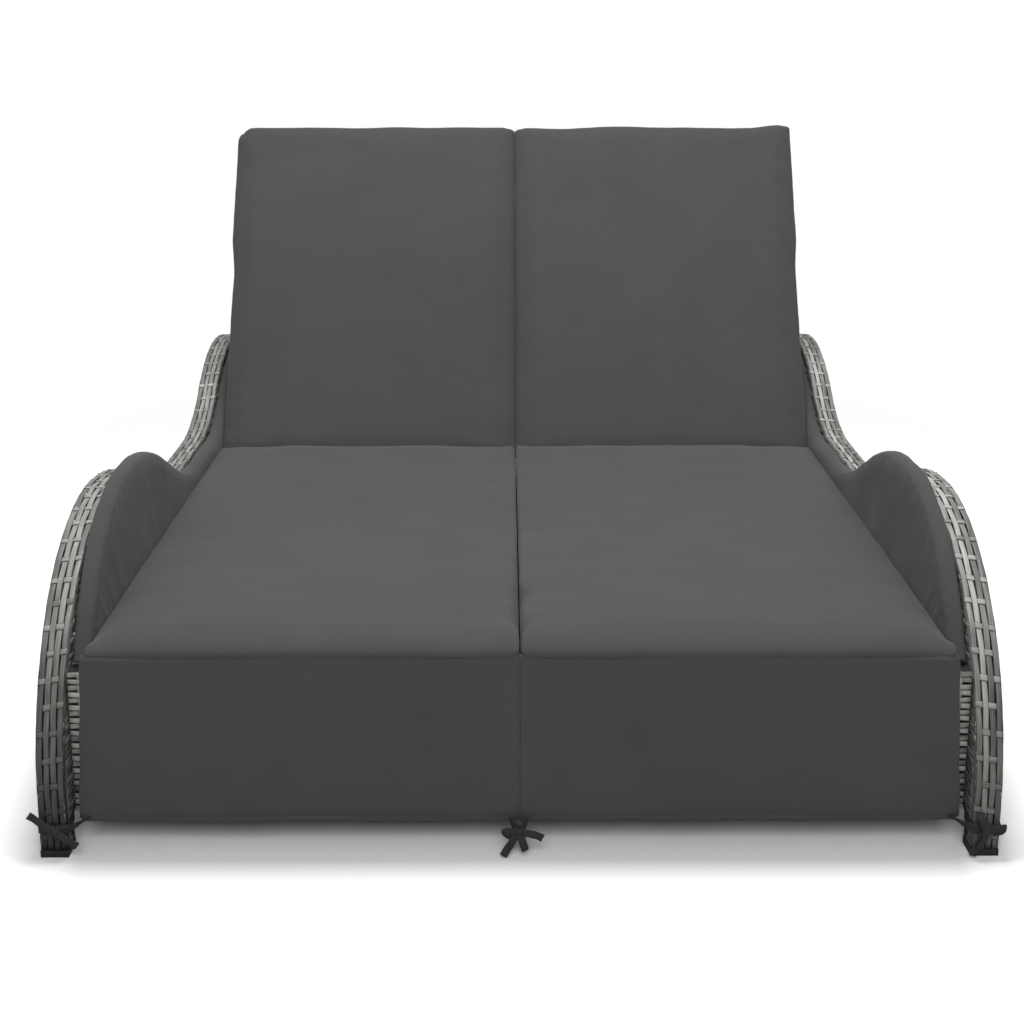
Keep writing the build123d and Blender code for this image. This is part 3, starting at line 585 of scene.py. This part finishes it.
def flat_panel(name, node, place, body, size, seed, depth=0.002, pitch=strand_pitch,
               width=strand_width, lift=warp_lift, spread=0.24, material=wicker, alternate_row_shade=0.0,
               frame_bar=None, rest_rows=(0, 0)):
    """A flat woven panel: strands along its width, crossed by others.

    Where frame_bar gives the width and drop of its frame, strands wrap round the frame too.
    Its rows are lighter and darker by turns, by the share given: painted shade for the gaps between rows.
    """
    margin = 0.0015
    rng = np.random.default_rng(seed)
    count = int(size[1] / pitch)
    step = size[1] / count
    columns = max(3, int(round(size[0] / weft_pitch)))
    wefts = size[0] / columns * (np.arange(columns) + 0.5)
    rows = [(row + 0.5) * step for row in range(count)]
    spans = [(row, across, margin, size[0] - margin) for row, across in enumerate(rows)]
    low, high = -0.5 * step + margin, size[1] - 0.5 * step - margin
    weft_spans = [(column, along, low, high) for column, along in enumerate(wefts)]

    def weft_place(along, across, out):
        return place(along, across + 0.5 * step, out)

    # Painted shade: every other row darker, the ones between lighter.
    row_tone_and_shade = [alternate_row_shade * (-1) ** row for row in range(count)]
    strands = plain_weave(place, rng, spans, [], step, wefts, depth, width=min(width, step * 0.92),
                          lift=lift, spread=spread, row_tone_and_shade=row_tone_and_shade)
    strands += plain_weave(weft_place, rng, [], weft_spans, step, wefts, depth, spread=spread)
    if frame_bar:
        strands += frame_wraps(place, rng, size, rows, width, depth, *frame_bar, rest_rows)
    strand_piece(name, node, body, strands, material)


def turned(y, z, angle):
    """(y, z) places turned about the backrest's hinge line."""
    dy, dz = y - hinge[0], z - hinge[1]
    cosine, sine = math.cos(angle), math.sin(angle)
    return hinge[0] + dy * cosine - dz * sine, hinge[1] + dy * sine + dz * cosine


deck_z = 0.272
deck_size, deck_start = (0.658, 1.075), (0.001, front_y + 0.075)
back_size, back_start = (0.594, 0.759), (0.020, hinge[0] + 0.016)
back_bar = (0.025, 0.029)
back_rest_rows = (0.674, 0.724)
front_apron_y, rear_apron_y = front_y + 0.045, rear_y - 0.064
front_apron_size, rear_apron_size = (2 * inner_x, 0.220), (2 * inner_x, 0.1925)
# Tone shares for the four rows of each edge band. On the left, the outer rows are darker as painted shade.
band_tones_and_shade = {1: [-0.08, 0.14, -0.26, 0.16], -1: [0.10, 0.10, -0.16, -0.26]}


def deck_place(along, across, out):
    return np.stack([deck_start[0] + along, deck_start[1] + across, deck_z + out], -1)


def back_place(along, across, out):
    y, z = turned(back_start[1] + across, deck_z + out, raise_angle)
    return np.stack([back_start[0] + along, y, z], -1)


def front_apron_place(along, across, out):
    return np.stack([along - inner_x, front_apron_y - out, panel_bottom + across], -1)


def rear_apron_place(along, across, out):
    return np.stack([inner_x - along, rear_apron_y + out, panel_bottom + across], -1)


for side, label in ((1, "right"), (-1, "left")):
    edge_band(label + "_edge_band", label + "_edge_weave", wave_corners, wave_shares, side, 11 + side,
              wicker if side > 0 else wicker_painted_shade, band_tones_and_shade[side], 0.0125)
    edge_band(label + "_lower_band", label + "_lower_weave", lower_corners[::-1], lower_shares, side,
              31 + side, wicker_painted_shade, None, 0.0100)
    skin(label + "_outer_skin", label + "_outer_weave", half_width, 1, side, 51 + side)
    skin(label + "_inner_skin", label + "_inner_weave", inner_x, -1, side, 71 + side)
    flat_panel(label + "_seat_deck", label + "_seat_weave", mirrored(deck_place, side), "root", deck_size,
               91 + side, pitch=0.0146, width=0.0132)
    flat_panel(label + "_back_panel", label + "_back_weave", mirrored(back_place, side),
               label + "_backrest", back_size, 111 + side, frame_bar=back_bar, rest_rows=back_rest_rows)
flat_panel("front_apron", "front_apron_weave", front_apron_place, "root", front_apron_size, 131,
           depth=0.0029, pitch=0.0100, width=0.0086, lift=0.0022, spread=0.30, material=wicker_pale,
           alternate_row_shade=0.30)
flat_panel("rear_apron", "rear_apron_weave", rear_apron_place, "root", rear_apron_size, 132,
           depth=0.0026, lift=0.0014, material=wicker_pale)


# Cushions


def baked(obj):
    """The object's mesh with its modifiers applied."""
    graph = bpy.context.evaluated_depsgraph_get()
    mesh = bpy.data.meshes.new_from_object(obj.evaluated_get(graph), depsgraph=graph)
    old = obj.data
    obj.modifiers.clear()
    obj.data = mesh
    bpy.data.meshes.remove(old)
    return mesh


def per_vertex(mesh, name="co"):
    """The mesh's coordinates, or its normals, as rows."""
    values = np.empty(len(mesh.vertices) * 3, np.float32)
    mesh.vertices.foreach_get(name, values)
    return values.reshape(-1, 3).astype(float)


def move_points(mesh, points):
    """Puts the mesh's points at new places."""
    mesh.vertices.foreach_set("co", points.astype(np.float32).ravel())
    mesh.update()


def ripples(points, seed, size, amount):
    """Smooth seeded unevenness, about as wide as size."""
    waves, turn = 12, 2 * math.pi
    rng = np.random.default_rng(seed)
    total = np.zeros(len(points))
    for _ in range(waves):
        direction = unit(rng.normal(size=(1, 3)))[0]
        total += np.sin(points @ direction * (turn / size) * rng.uniform(0.5, 1.5) + rng.uniform(0, turn))
    return total / math.sqrt(waves) * amount


def foam(name, node, voxel, shrink):
    """A soft piece cut a little smaller than its CAD solid, ready to be filled, and its points."""
    mesh = nodes[node].data.copy()
    work = bmesh.new()
    work.from_mesh(mesh)
    bmesh.ops.remove_doubles(work, verts=work.verts, dist=0.00005)
    work.to_mesh(mesh)
    work.free()
    obj = new_object(name, mesh)
    remesh = obj.modifiers.new("remesh", "REMESH")
    remesh.mode = "VOXEL"
    remesh.voxel_size = voxel
    mesh = baked(obj)
    points = per_vertex(mesh) - per_vertex(mesh, "normal") * shrink
    move_points(mesh, points)
    return obj, points


def fill(pieces, pressure, frames):
    """Blows every soft piece up as cloth, then stops each point at its cap."""
    for piece in pieces:
        cloth = piece["obj"].modifiers.new("cloth", "CLOTH")
        settings = cloth.settings
        settings.quality = 5
        settings.mass = 0.3
        settings.tension_stiffness = settings.compression_stiffness = 12
        settings.shear_stiffness = 6
        settings.bending_stiffness = 0.6
        settings.use_pressure = True
        settings.uniform_pressure_force = pressure
        settings.effector_weights.gravity = 0
        cloth.collision_settings.use_collision = False
        cloth.point_cache.frame_start = 1
        cloth.point_cache.frame_end = frames
    for number in range(1, frames + 1):
        scene.frame_set(number)
    for piece in pieces:
        mesh = baked(piece["obj"])
        moved = per_vertex(mesh) - piece["rest"]
        length = np.linalg.norm(moved, axis=1, keepdims=True)
        cap = piece["cap"]
        moved *= np.minimum(1, cap * np.tanh(length / cap) / np.maximum(length, 1e-9))
        move_points(mesh, piece["rest"] + moved)
    scene.frame_set(1)


def eased(values, start, end):
    """0 at start and 1 at end, with a smooth step between them."""
    share = np.clip((values - start) / (end - start), 0, 1)
    return share * share * (3 - 2 * share)


def stretched(points, low, high):
    """The points stretched to fill a box, whose corners have None where a side is kept."""
    points = points.copy()
    for axis in range(3):
        old_low, old_high = points[:, axis].min(), points[:, axis].max()
        new_low = old_low if low[axis] is None else low[axis]
        new_high = old_high if high[axis] is None else high[axis]
        share = (new_high - new_low) / (old_high - old_low)
        points[:, axis] = new_low + (points[:, axis] - old_low) * share
    return points


def rounded_corner(first, second, first_end, second_end, radius):
    """Two coordinates drawn in round a corner, each end given as (place, 1 for a high side or -1)."""
    (centre, sign), (second_centre, second_sign) = first_end, second_end
    centre, second_centre = centre - sign * radius, second_centre - second_sign * radius
    a, b = (first - centre) * sign, (second - second_centre) * second_sign
    inside = (a > 0) & (b > 0)
    share = np.where(inside, np.maximum(a, b) / np.maximum(np.hypot(a, b), 1e-9), 1)
    return (np.where(inside, centre + sign * a * share, first),
            np.where(inside, second_centre + second_sign * b * share, second))


def rippled(x, seed, size, amount):
    """Unevenness along X alone."""
    return ripples(np.stack([x, 0 * x, 0 * x], -1), seed, size, amount)


# Seat cushions
seam_z, seat_top = 0.3060, 0.3255
cushion_side, middle_side, side_bulge = 0.6255, 0.0009, 0.004
nose_y, nose_depth, nose_height, nose_recess = front_y + 0.0114, 0.060, 0.029, 0.0062
front_crown, crown_fall, crown_span = 0.0165, 0.09, (-0.88, -0.3)
seam_dent, tuck_depth, pucker_size = 0.0012, 0.010, 0.034
seat_sag, sag_above, sag_rise, sag_end = 0.0015, 0.3, (-0.75, -0.35), (-0.35, 0.1)

# Back cushions
back_end = hinge[0] + 0.799
back_top = 0.3262
back_flare, back_rise = 0.0070, 0.0065
outer_radius = {1: 0.007, -1: 0.034}

# Flaps, whose thickness is found and wanted at places up the flap
flap_bottom, flap_top = 0.044, seam_z + 0.0035
flap_back, flap_depth = front_y + 0.034, 0.026
flap_low_side, flap_high_side, flap_gap = 0.6460, 0.6290, 0.0018
top_radius, hem_radius, middle_radius = 0.010, 0.012, 0.014
fill_start, fill_length = 0.055, 0.245
fill_places = [0, 0.05, 0.2, 0.5, 0.8, 0.95, 1.0]
fill_found = [0.45, 0.8, 0.95, 1.0, 0.95, 0.85, 0.6]
fill_wanted = [0.55, 0.80, 0.94, 1.0, 0.99, 0.93, 0.87]

# Side pads
pad_inner, pad_outer = 0.6249, 0.6597
fold_size, fold_height = 0.045, 0.0008


def squared(points, inner, outer):
    """The points stretched a little past two sides, then pressed flat against them."""
    wide = stretched(points, (inner - side_bulge, None, None), (outer + side_bulge, None, None))
    wide[:, 0] = np.clip(wide[:, 0], inner, outer)
    return wide


def levelled(x, y, z):
    """The heights of the seat's points, its top as high beside the middle as further out."""
    places = middle_side + np.array([0, 0.005, 0.010, 0.016, 0.024, 0.034])
    long_part = (y > -0.7) & (y < -0.3)
    tops = np.array([z[long_part & (np.abs(x - place) < 0.002)].max() for place in places])
    level = (tops[-1] - seam_z) / (np.interp(x, places, tops) - seam_z)
    return np.where(z > seam_z, seam_z + (z - seam_z) * level, z)


def nose(x, y, z, crown):
    """The seat's (y, z) places, its front turned down in an arc to the seam."""
    rising = (z > seam_z) & (y < nose_y + nose_depth)
    height = nose_height - (front_crown - crown)
    height = height + (z - seam_z - height) * eased(y, nose_y + 0.4 * nose_depth, nose_y + nose_depth)
    run = np.clip(np.maximum(y - nose_y, 0) + z - seam_z, 0, None) / (nose_depth + height)
    turn = np.clip(run, 0, 1) * math.pi / 2
    y = np.where(rising, nose_y + nose_depth * (1 - np.cos(turn)), y)
    z = np.where(rising, seam_z + height * np.sin(turn), z)
    at_seam = 1 - eased(z, seam_z + 0.001, seam_z + 0.010)
    z = z - seam_dent * (1 - eased(y, nose_y + 0.004, nose_y + 0.022)) * at_seam
    tucked = eased(seam_z - z, 0.0005, 0.006) * (1 - eased(y, nose_y + 0.004, nose_y + 0.03))
    y = y + tuck_depth * tucked
    outward = np.clip(x / cushion_side, 0, 1)
    drawn = outward ** 6 + 0.30 * (1 - outward) ** 16
    return y + nose_recess * drawn * (1 - eased(y, nose_y + 0.008, nose_y + 0.06)), z


def shape_seat(points, side, seed):
    """The seat cushion: full width, its nose sewn to the flap, with small puckers along that seam."""
    points = stretched(points, (None, nose_y - 0.001, None), (None, None, seat_top))
    x, y, z = squared(points, middle_side, cushion_side).T
    z = levelled(x, y, z)
    crown = front_crown * (1 - 0.6 * eased(x, cushion_side - crown_fall, cushion_side))
    z = z + crown * np.clip((z - seam_z) / 0.010, 0, 1) * (1 - eased(y, *crown_span))
    y, z = nose(x, y, z, crown)
    from_seam = np.hypot(np.maximum(y - nose_y, 0), np.maximum(z - seam_z, 0))
    z = z + np.exp(-(from_seam / 0.016) ** 2) * rippled(x, seed, pucker_size, 0.0006)
    sag = np.sin(math.pi * np.clip((x - middle_side) / (cushion_side - middle_side), 0, 1))
    z = z - seat_sag * sag * (z > sag_above) * eased(y, *sag_rise) * (1 - eased(y, *sag_end))
    return np.stack([x, y, z], -1)


def turned_points(points, angle):
    """The points turned about the backrest's hinge line."""
    return np.stack([points[:, 0], *turned(points[:, 1], points[:, 2], angle)], -1)


def shape_back(points, side, seed):
    """The back cushion: crisp sides and a faintly wavy end.

    The outer corner of that end is soft on the left and drawn up on the right.
    """
    flat = stretched(turned_points(points, -raise_angle), (None, None, None), (None, back_end, back_top))
    x, y, z = squared(flat, 0.00002, cushion_side + 0.001).T
    x = x + back_flare * eased(y, hinge[0] + 0.43, hinge[0] + 0.54) * eased(x, 0.4, cushion_side)
    x, y = rounded_corner(x, y, (cushion_side + 0.008, 1), (back_end, 1), outer_radius[side])
    x, y = rounded_corner(x, y, (0.0, -1), (back_end, 1), 0.009)
    y = y + eased(y, back_end - 0.10, back_end) * rippled(x, seed, 0.17, 0.0013)
    if side > 0:
        at_corner = eased(x, cushion_side - 0.09, cushion_side) * eased(y, back_end - 0.12, back_end)
        y = y + back_rise * at_corner
    return turned_points(np.stack([x, y, z], -1), raise_angle)


def shape_flap(points, side, seed):
    """The flap: its face flush with the cushion's nose, its corners drawn in, its hem a little wavy."""
    points = stretched(points, (middle_side - 0.007, None, flap_bottom), (None, None, flap_top))
    x, y, z = points.T
    height = (z - fill_start) / fill_length
    front = np.clip((flap_back - y) / flap_depth, 0, 1)
    share = np.clip(front / np.interp(height, fill_places, fill_found), 0, 1)
    share = share ** (0.5 - 0.2 * (1 - eased(x, 0.02, 0.12)))
    gap = middle_side + flap_gap * (1 - eased(z, flap_bottom, flap_bottom + 0.13))
    x = np.maximum(x, 0.00005 + gap * eased(front, 0.5, 0.8))
    filled = flap_back - flap_depth * np.interp(height, fill_places, fill_wanted) * share
    y = np.where(front > 0, filled, y)
    levels = [0.05, 0.3]
    outer = np.interp(z, levels, [flap_low_side, flap_high_side])
    found = np.interp(z, levels, [x.max(), x.max() - 0.015])
    x = np.where(x > 0.5, 0.5 + (x - 0.5) * (outer - 0.5) / (found - 0.5), x)
    x, z = rounded_corner(x, z, (flap_high_side, 1), (flap_top, 1), top_radius)
    x, z = rounded_corner(x, z, (flap_low_side, 1), (flap_bottom, -1), hem_radius)
    x, z = rounded_corner(x, z, (middle_side, -1), (flap_bottom, -1), middle_radius)
    z = z + (1 - eased(z, flap_bottom, flap_bottom + 0.06)) * rippled(x, seed, 0.21, 0.0011)
    y = y + np.exp(-((z - seam_z) / 0.014) ** 2) * rippled(x, seed + 1, 0.030, 0.0004)
    return np.stack([x, y, z], -1)


def shape_pad(points, side, seed):
    """The side pad: full thickness against the panel, with soft folds low down at its front."""
    x, y, z = stretched(points, (pad_inner, None, None), (pad_outer, None, None)).T
    low_front = (1 - eased(y, front_y + 0.10, front_y + 0.32)) * (1 - eased(z, 0.30, 0.42))
    folds = np.sin((y * 0.8 + z * 0.6) * 2 * math.pi / fold_size + seed) * fold_height
    return np.stack([x - np.maximum(0, folds) * low_front, y, z], -1)


# The voxel, the shrink and the cap of thick and of thin soft pieces
thick = (0.0080, 0.0030, 0.0060)
thin = (0.0050, 0.0020, 0.0040)
soft = []
for side, label in ((1, "right"), (-1, "left")):
    for part, (voxel, shrink, cap), body, fullness, shape in (
        ("seat_cushion", thick, "root", 0.7, shape_seat),
        ("front_flap", thin, "root", 0.5, shape_flap),
        ("back_cushion", thick, label + "_backrest", 0.7, shape_back),
        ("side_pad", thin, "root", 0.7, shape_pad),
    ):
        node = label + "_" + part
        obj, rest = foam(node + "_soft", node, voxel, shrink)
        soft.append({"obj": obj, "rest": rest, "cap": cap, "node": node, "body": body,
                     "fullness": fullness, "side": side, "shape": shape})
fill(soft, 4.0, 20)
for index, piece in enumerate(soft):
    obj = piece["obj"]
    mirror = np.array([piece["side"], 1, 1])
    relax = obj.modifiers.new("smooth", "SMOOTH")
    relax.factor = 0.5
    relax.iterations = 1
    divide = obj.modifiers.new("divide", "SUBSURF")
    divide.levels = divide.render_levels = 1
    mesh = baked(obj)
    points = per_vertex(mesh)
    uneven = ripples(points, 200 + index, 0.17, 0.0006) + ripples(points, 300 + index, 0.06, 0.0002)
    points = points + per_vertex(mesh, "normal") * uneven[:, None]
    move_points(mesh, piece["shape"](points * mirror, piece["side"], 400 + index) * mirror)
    smooth(mesh)
    dressed(obj, piece["node"], piece["body"], fabric)


# Ties

tape_width, knot_width, strap_width = 0.0115, 0.0105, 0.0085
tape_thickness = tape_gap = 0.0012
tie_height, loop_chamfer, millimetre = 0.045, 0.0025, 0.001


def softened(corners, rounds=3):
    """A run through given corners with its turns rounded off."""
    points = np.array(corners, float)
    for _ in range(rounds):
        near = points[:-1] * 0.75 + points[1:] * 0.25
        far = points[:-1] * 0.25 + points[1:] * 0.75
        between = np.stack([near, far], 1).reshape(-1, points.shape[1])
        points = np.concatenate([points[:1], between[1:-1], points[-1:]])
    return points


def tape_strip(corners, faces, tone, width=tape_width):
    """A strip of tape through its corners, its flat side turned to the faces."""
    run = softened(np.concatenate([np.array(corners, float), np.array(faces, float)], 1))
    points, facing = run[:, :3], unit(run[:, 3:])
    sides = unit(np.cross(unit(np.gradient(points, axis=0)), facing))
    return points, sides, width, tape_thickness, tone


def knot_strips(centre, turn):
    """Two short wraps of tape, crossed, and a third over them."""
    wraps = [(35, 0.0045, 0.0085), (-50, 0.0060, 0.0080), (80, 0.0074, 0.0062)]
    arch = [(-1.15, -0.4), (-1.0, 0.5), (-0.5, 1.0), (0.5, 1.0), (1.0, 0.5), (1.15, -0.4)]
    facing = [(-1, 0.2), (-1, 0.6), (-0.3, 1), (0.3, 1), (1, 0.6), (1, 0.2)]
    strips = []
    for index, (angle, bulge, reach) in enumerate(wraps):
        angle = math.radians(angle)
        along = np.array([math.cos(angle) * turn, 0, math.sin(angle)])
        corners = [centre + along * share * reach + np.array([0, -bulge * height, 0])
                   for share, height in arch]
        faces = [along * share + np.array([0, -rise, 0]) for share, rise in facing]
        strips.append(tape_strip(corners, faces, 0.3 + 0.2 * index, knot_width))
    return strips


def leg_loop(side):
    """Tape round the leg of one side, a hair off its weave."""
    near, far = front_y - tape_gap, front_y + panel + tape_gap
    inside, outside = side * (inner_x - tape_gap), side * (half_width + tape_gap)
    middle, towards = side * (inner_x + 0.020), side * loop_chamfer
    places = [(middle, near), (outside - towards, near), (outside, near + loop_chamfer),
              (outside, far - loop_chamfer), (outside - towards, far), (inside + towards, far),
              (inside, far - loop_chamfer), (inside, near + loop_chamfer), (inside + towards, near),
              (middle, near)]
    ways = [(0, -1), (1, -3), (3, -1), (3, 1), (1, 3)]
    ways += [(-x, y) for x, y in ways[:0:-1]] + ways[:1]
    faces = [(side * x, y, 0) for x, y in ways]
    return tape_strip([(*place, tie_height) for place in places], faces, 0.4)


def flap_strap(side):
    """Two layers of tape from the knot to the flap's lower corner."""
    strips = []
    for rise, tone in ((0.004, 0.7), (-0.003, 0.2)):
        places = [(0.674, -0.004, rise), (0.662, -0.005, rise + 0.001), (0.652, 0.002, rise * 0.6 + 0.002),
                  (0.641, 0.012, 0.006), (0.628, 0.020, 0.009)]
        corners = [(side * x, front_y + y, tie_height + z) for x, y, z in places]
        faces = [(0, -1, 0), (0, -1, 0.2), (-side * 0.2, -1, -0.3), (-side * 0.5, -1, -0.6), (0, -0.6, -1)]
        strips.append(tape_strip(corners, faces, tone, strap_width))
    return strips


def tie(name, side, knot, turn, tails):
    """One tie: the loop and strap of a side, where it has one, then the knot and its tails.

    Each tail has its tone, its (x, y, z) places from the knot in millimetres, and the way it faces
    at those of them where that isn't straight ahead.
    """
    centre = np.array(knot)
    strips = [leg_loop(side)] + flap_strap(side) if side else []
    strips += knot_strips(centre, turn)
    for tone, places, facing in tails:
        corners = [centre + np.array(place) * millimetre for place in places]
        faces = [facing.get(index, ahead) for index in range(len(places))]
        strips.append(tape_strip(corners, faces, tone))
    strand_piece(name + "_tape", name, "root", strips, tape)


ahead, leaning = (0, -1, 0), (0.25, -1, 0.2)
tie("left_tie", -1, (-0.6740, front_y - 0.0030, tie_height), 1, [
    (0.8, [(2, -4, -1), (-9, -7, 6), (-21, -5, 14), (-31, -4, 22), (-37, -6, 27)],
     {1: leaning, 4: leaning}),
    (0.6, [(-2, -4, 1), (8, -8, -4), (17, -8, -12), (24, -6, -17), (31, -7, -22)],
     {2: leaning, 4: leaning}),
])
tie("right_tie", 1, (0.6780, front_y - 0.0030, tie_height), -1, [
    (0.7, [(-9, -1, 27), (-10, -8, 22), (-6, -9, 12), (-2, -8, 5), (2, -6, 0)],
     {0: (0, -1, 1), 1: leaning}),
    (0.5, [(0, -5, 2), (12, -8, 3), (24, -6, 5), (30, -3, 1), (24, -4, -4), (10, -6, -3)],
     {2: (0.6, -1, 0), 3: (1, -0.2, 0), 4: (0.5, -1, -0.4)}),
    (0.6, [(0, -5, 0), (-6, -9, -9), (-12, -8, -20), (-17, -8, -30), (-20, -9, -38)],
     {1: leaning, 3: leaning}),
    (0.3, [(1, -7, -1), (-4, -11, -10), (-9, -10, -20), (-12, -10, -28)],
     {1: (0.7, -1, 0), 2: (0.4, -1, 0)}),
])
tie("centre_tie", 0, (-0.0020, front_y + 0.0030, tie_height - 0.0045), 1, [
    (0.5, [(-13, 12, 14), (-9, 6, 9), (-4, -2, 4), (0, -4, 0)], {0: (0, -1, -1), 1: (0, -1, -0.4)}),
    (0.3, [(14, 12, 14), (10, 6, 9), (5, -2, 4), (1, -4, 0)], {0: (0, -1, -1), 1: (0, -1, -0.4)}),
    (0.8, [(0, -4, 0), (-7, -8, -9), (-13, -8, -20), (-19, -7, -30), (-23, -9, -36)],
     {1: leaning, 3: (-0.4, -1, 0.2)}),
    (0.6, [(1, -4, 0), (4, -8, -8), (7, -9, -18), (10, -8, -28)], {1: leaning, 3: leaning}),
    (0.7, [(0, -5, 1), (10, -8, 0), (20, -8, -2), (28, -5, -6), (35, -5, -10)],
     {2: leaning, 4: leaning}),
    (0.5, [(0, -6, 2), (-11, -9, 3), (-21, -7, 1), (-22, -5, -4), (-12, -7, -6), (-2, -6, -2)],
     {2: (-0.7, -1, 0.3), 3: (-0.8, -0.6, -0.4)}),
])


# Camera, light and floor

photo_width, focal_length, sensor = 1024, 1596.6, 36
camera_place = (-0.02, front_y - 2.1147, 1.1856)
camera_tilt, camera_roll = math.radians(90 - 13.632), -0.0039
camera_data = bpy.data.cameras.new("camera")
camera = new_object("camera", camera_data)
camera_data.sensor_width = sensor
camera_data.lens = focal_length / photo_width * sensor
camera_data.shift_y = -0.1
camera_data.clip_end = 100
camera.location = camera_place
camera.rotation_euler = (camera_tilt, 0, camera_roll)
bpy.context.scene.camera = camera


def area_light(name, place, aim, size, power):
    """A soft square lamp at a place, turned to a point."""
    data = bpy.data.lights.new(name, "AREA")
    data.shape = "SQUARE"
    data.size = size
    data.energy = power
    lamp = new_object(name, data)
    lamp.location = place
    lamp.rotation_euler = (Vector(aim) - Vector(place)).to_track_quat("-Z", "Y").to_euler()


area_light("top_lamp", (0, -0.1, 4.2), (0, -0.1, 0), 1.2, 92)
area_light("front_lamp", (0, -4.4, 3.0), (0, -0.2, 0.3), 2.2, 58)

black, white = grey(0.0), grey(1.0)


def floor_look():
    """A pale floor that takes the shadow near the object, and is plain white to the camera further out."""
    near, far = 1.15, 1.9
    paint = Nodes(bpy.data.materials.new("floor_pale"))
    oval = paint.scaled(paint.place(), (1, 0.75, 0))
    distance = paint.node("VectorMath", {0: oval}, operation="LENGTH").outputs["Value"]
    ends = {"Value": distance, "From Min": near, "From Max": far}
    outside = paint.node("MapRange", ends, interpolation_type="SMOOTHSTEP").outputs["Result"]
    seen = paint.node("LightPath", {}).outputs["Is Camera Ray"]
    return paint.shade({
        "Base Color": paint.mix(seen, grey(0.6), paint.mix(outside, grey(1.7), black)),
        "Emission Color": paint.mix(seen, black, paint.mix(outside, black, white)),
        "Emission Strength": 1.0,
        "Roughness": 1.0,
        "Specular IOR Level": 0.0,
    })


def studio_sky(world):
    """A dim sky for the light, which the camera, mirrors and glass see as white."""
    paint = Nodes(world, "Background")
    rays = paint.node("LightPath", {}).outputs
    seen = paint.math("MAXIMUM", rays["Is Camera Ray"], rays["Is Glossy Ray"])
    seen = paint.math("MAXIMUM", seen, rays["Is Transmission Ray"])
    return paint.shade({"Color": paint.mix(seen, grey(0.18), white), "Strength": 1.0})


reach = 14.0
floor_mesh = bpy.data.meshes.new("floor")
floor_corners = [(x * reach, y * reach, 0) for x, y in ((-1, -1), (1, -1), (1, 1), (-1, 1))]
floor_mesh.from_pydata(floor_corners, [], [(0, 1, 2, 3)])
floor_mesh.materials.append(floor_look())
new_object("floor", floor_mesh)
scene.world = studio_sky(bpy.data.worlds.new("studio"))

bpy.context.scene.view_settings.view_transform = "Standard"

bpy.context.view_layer.update()
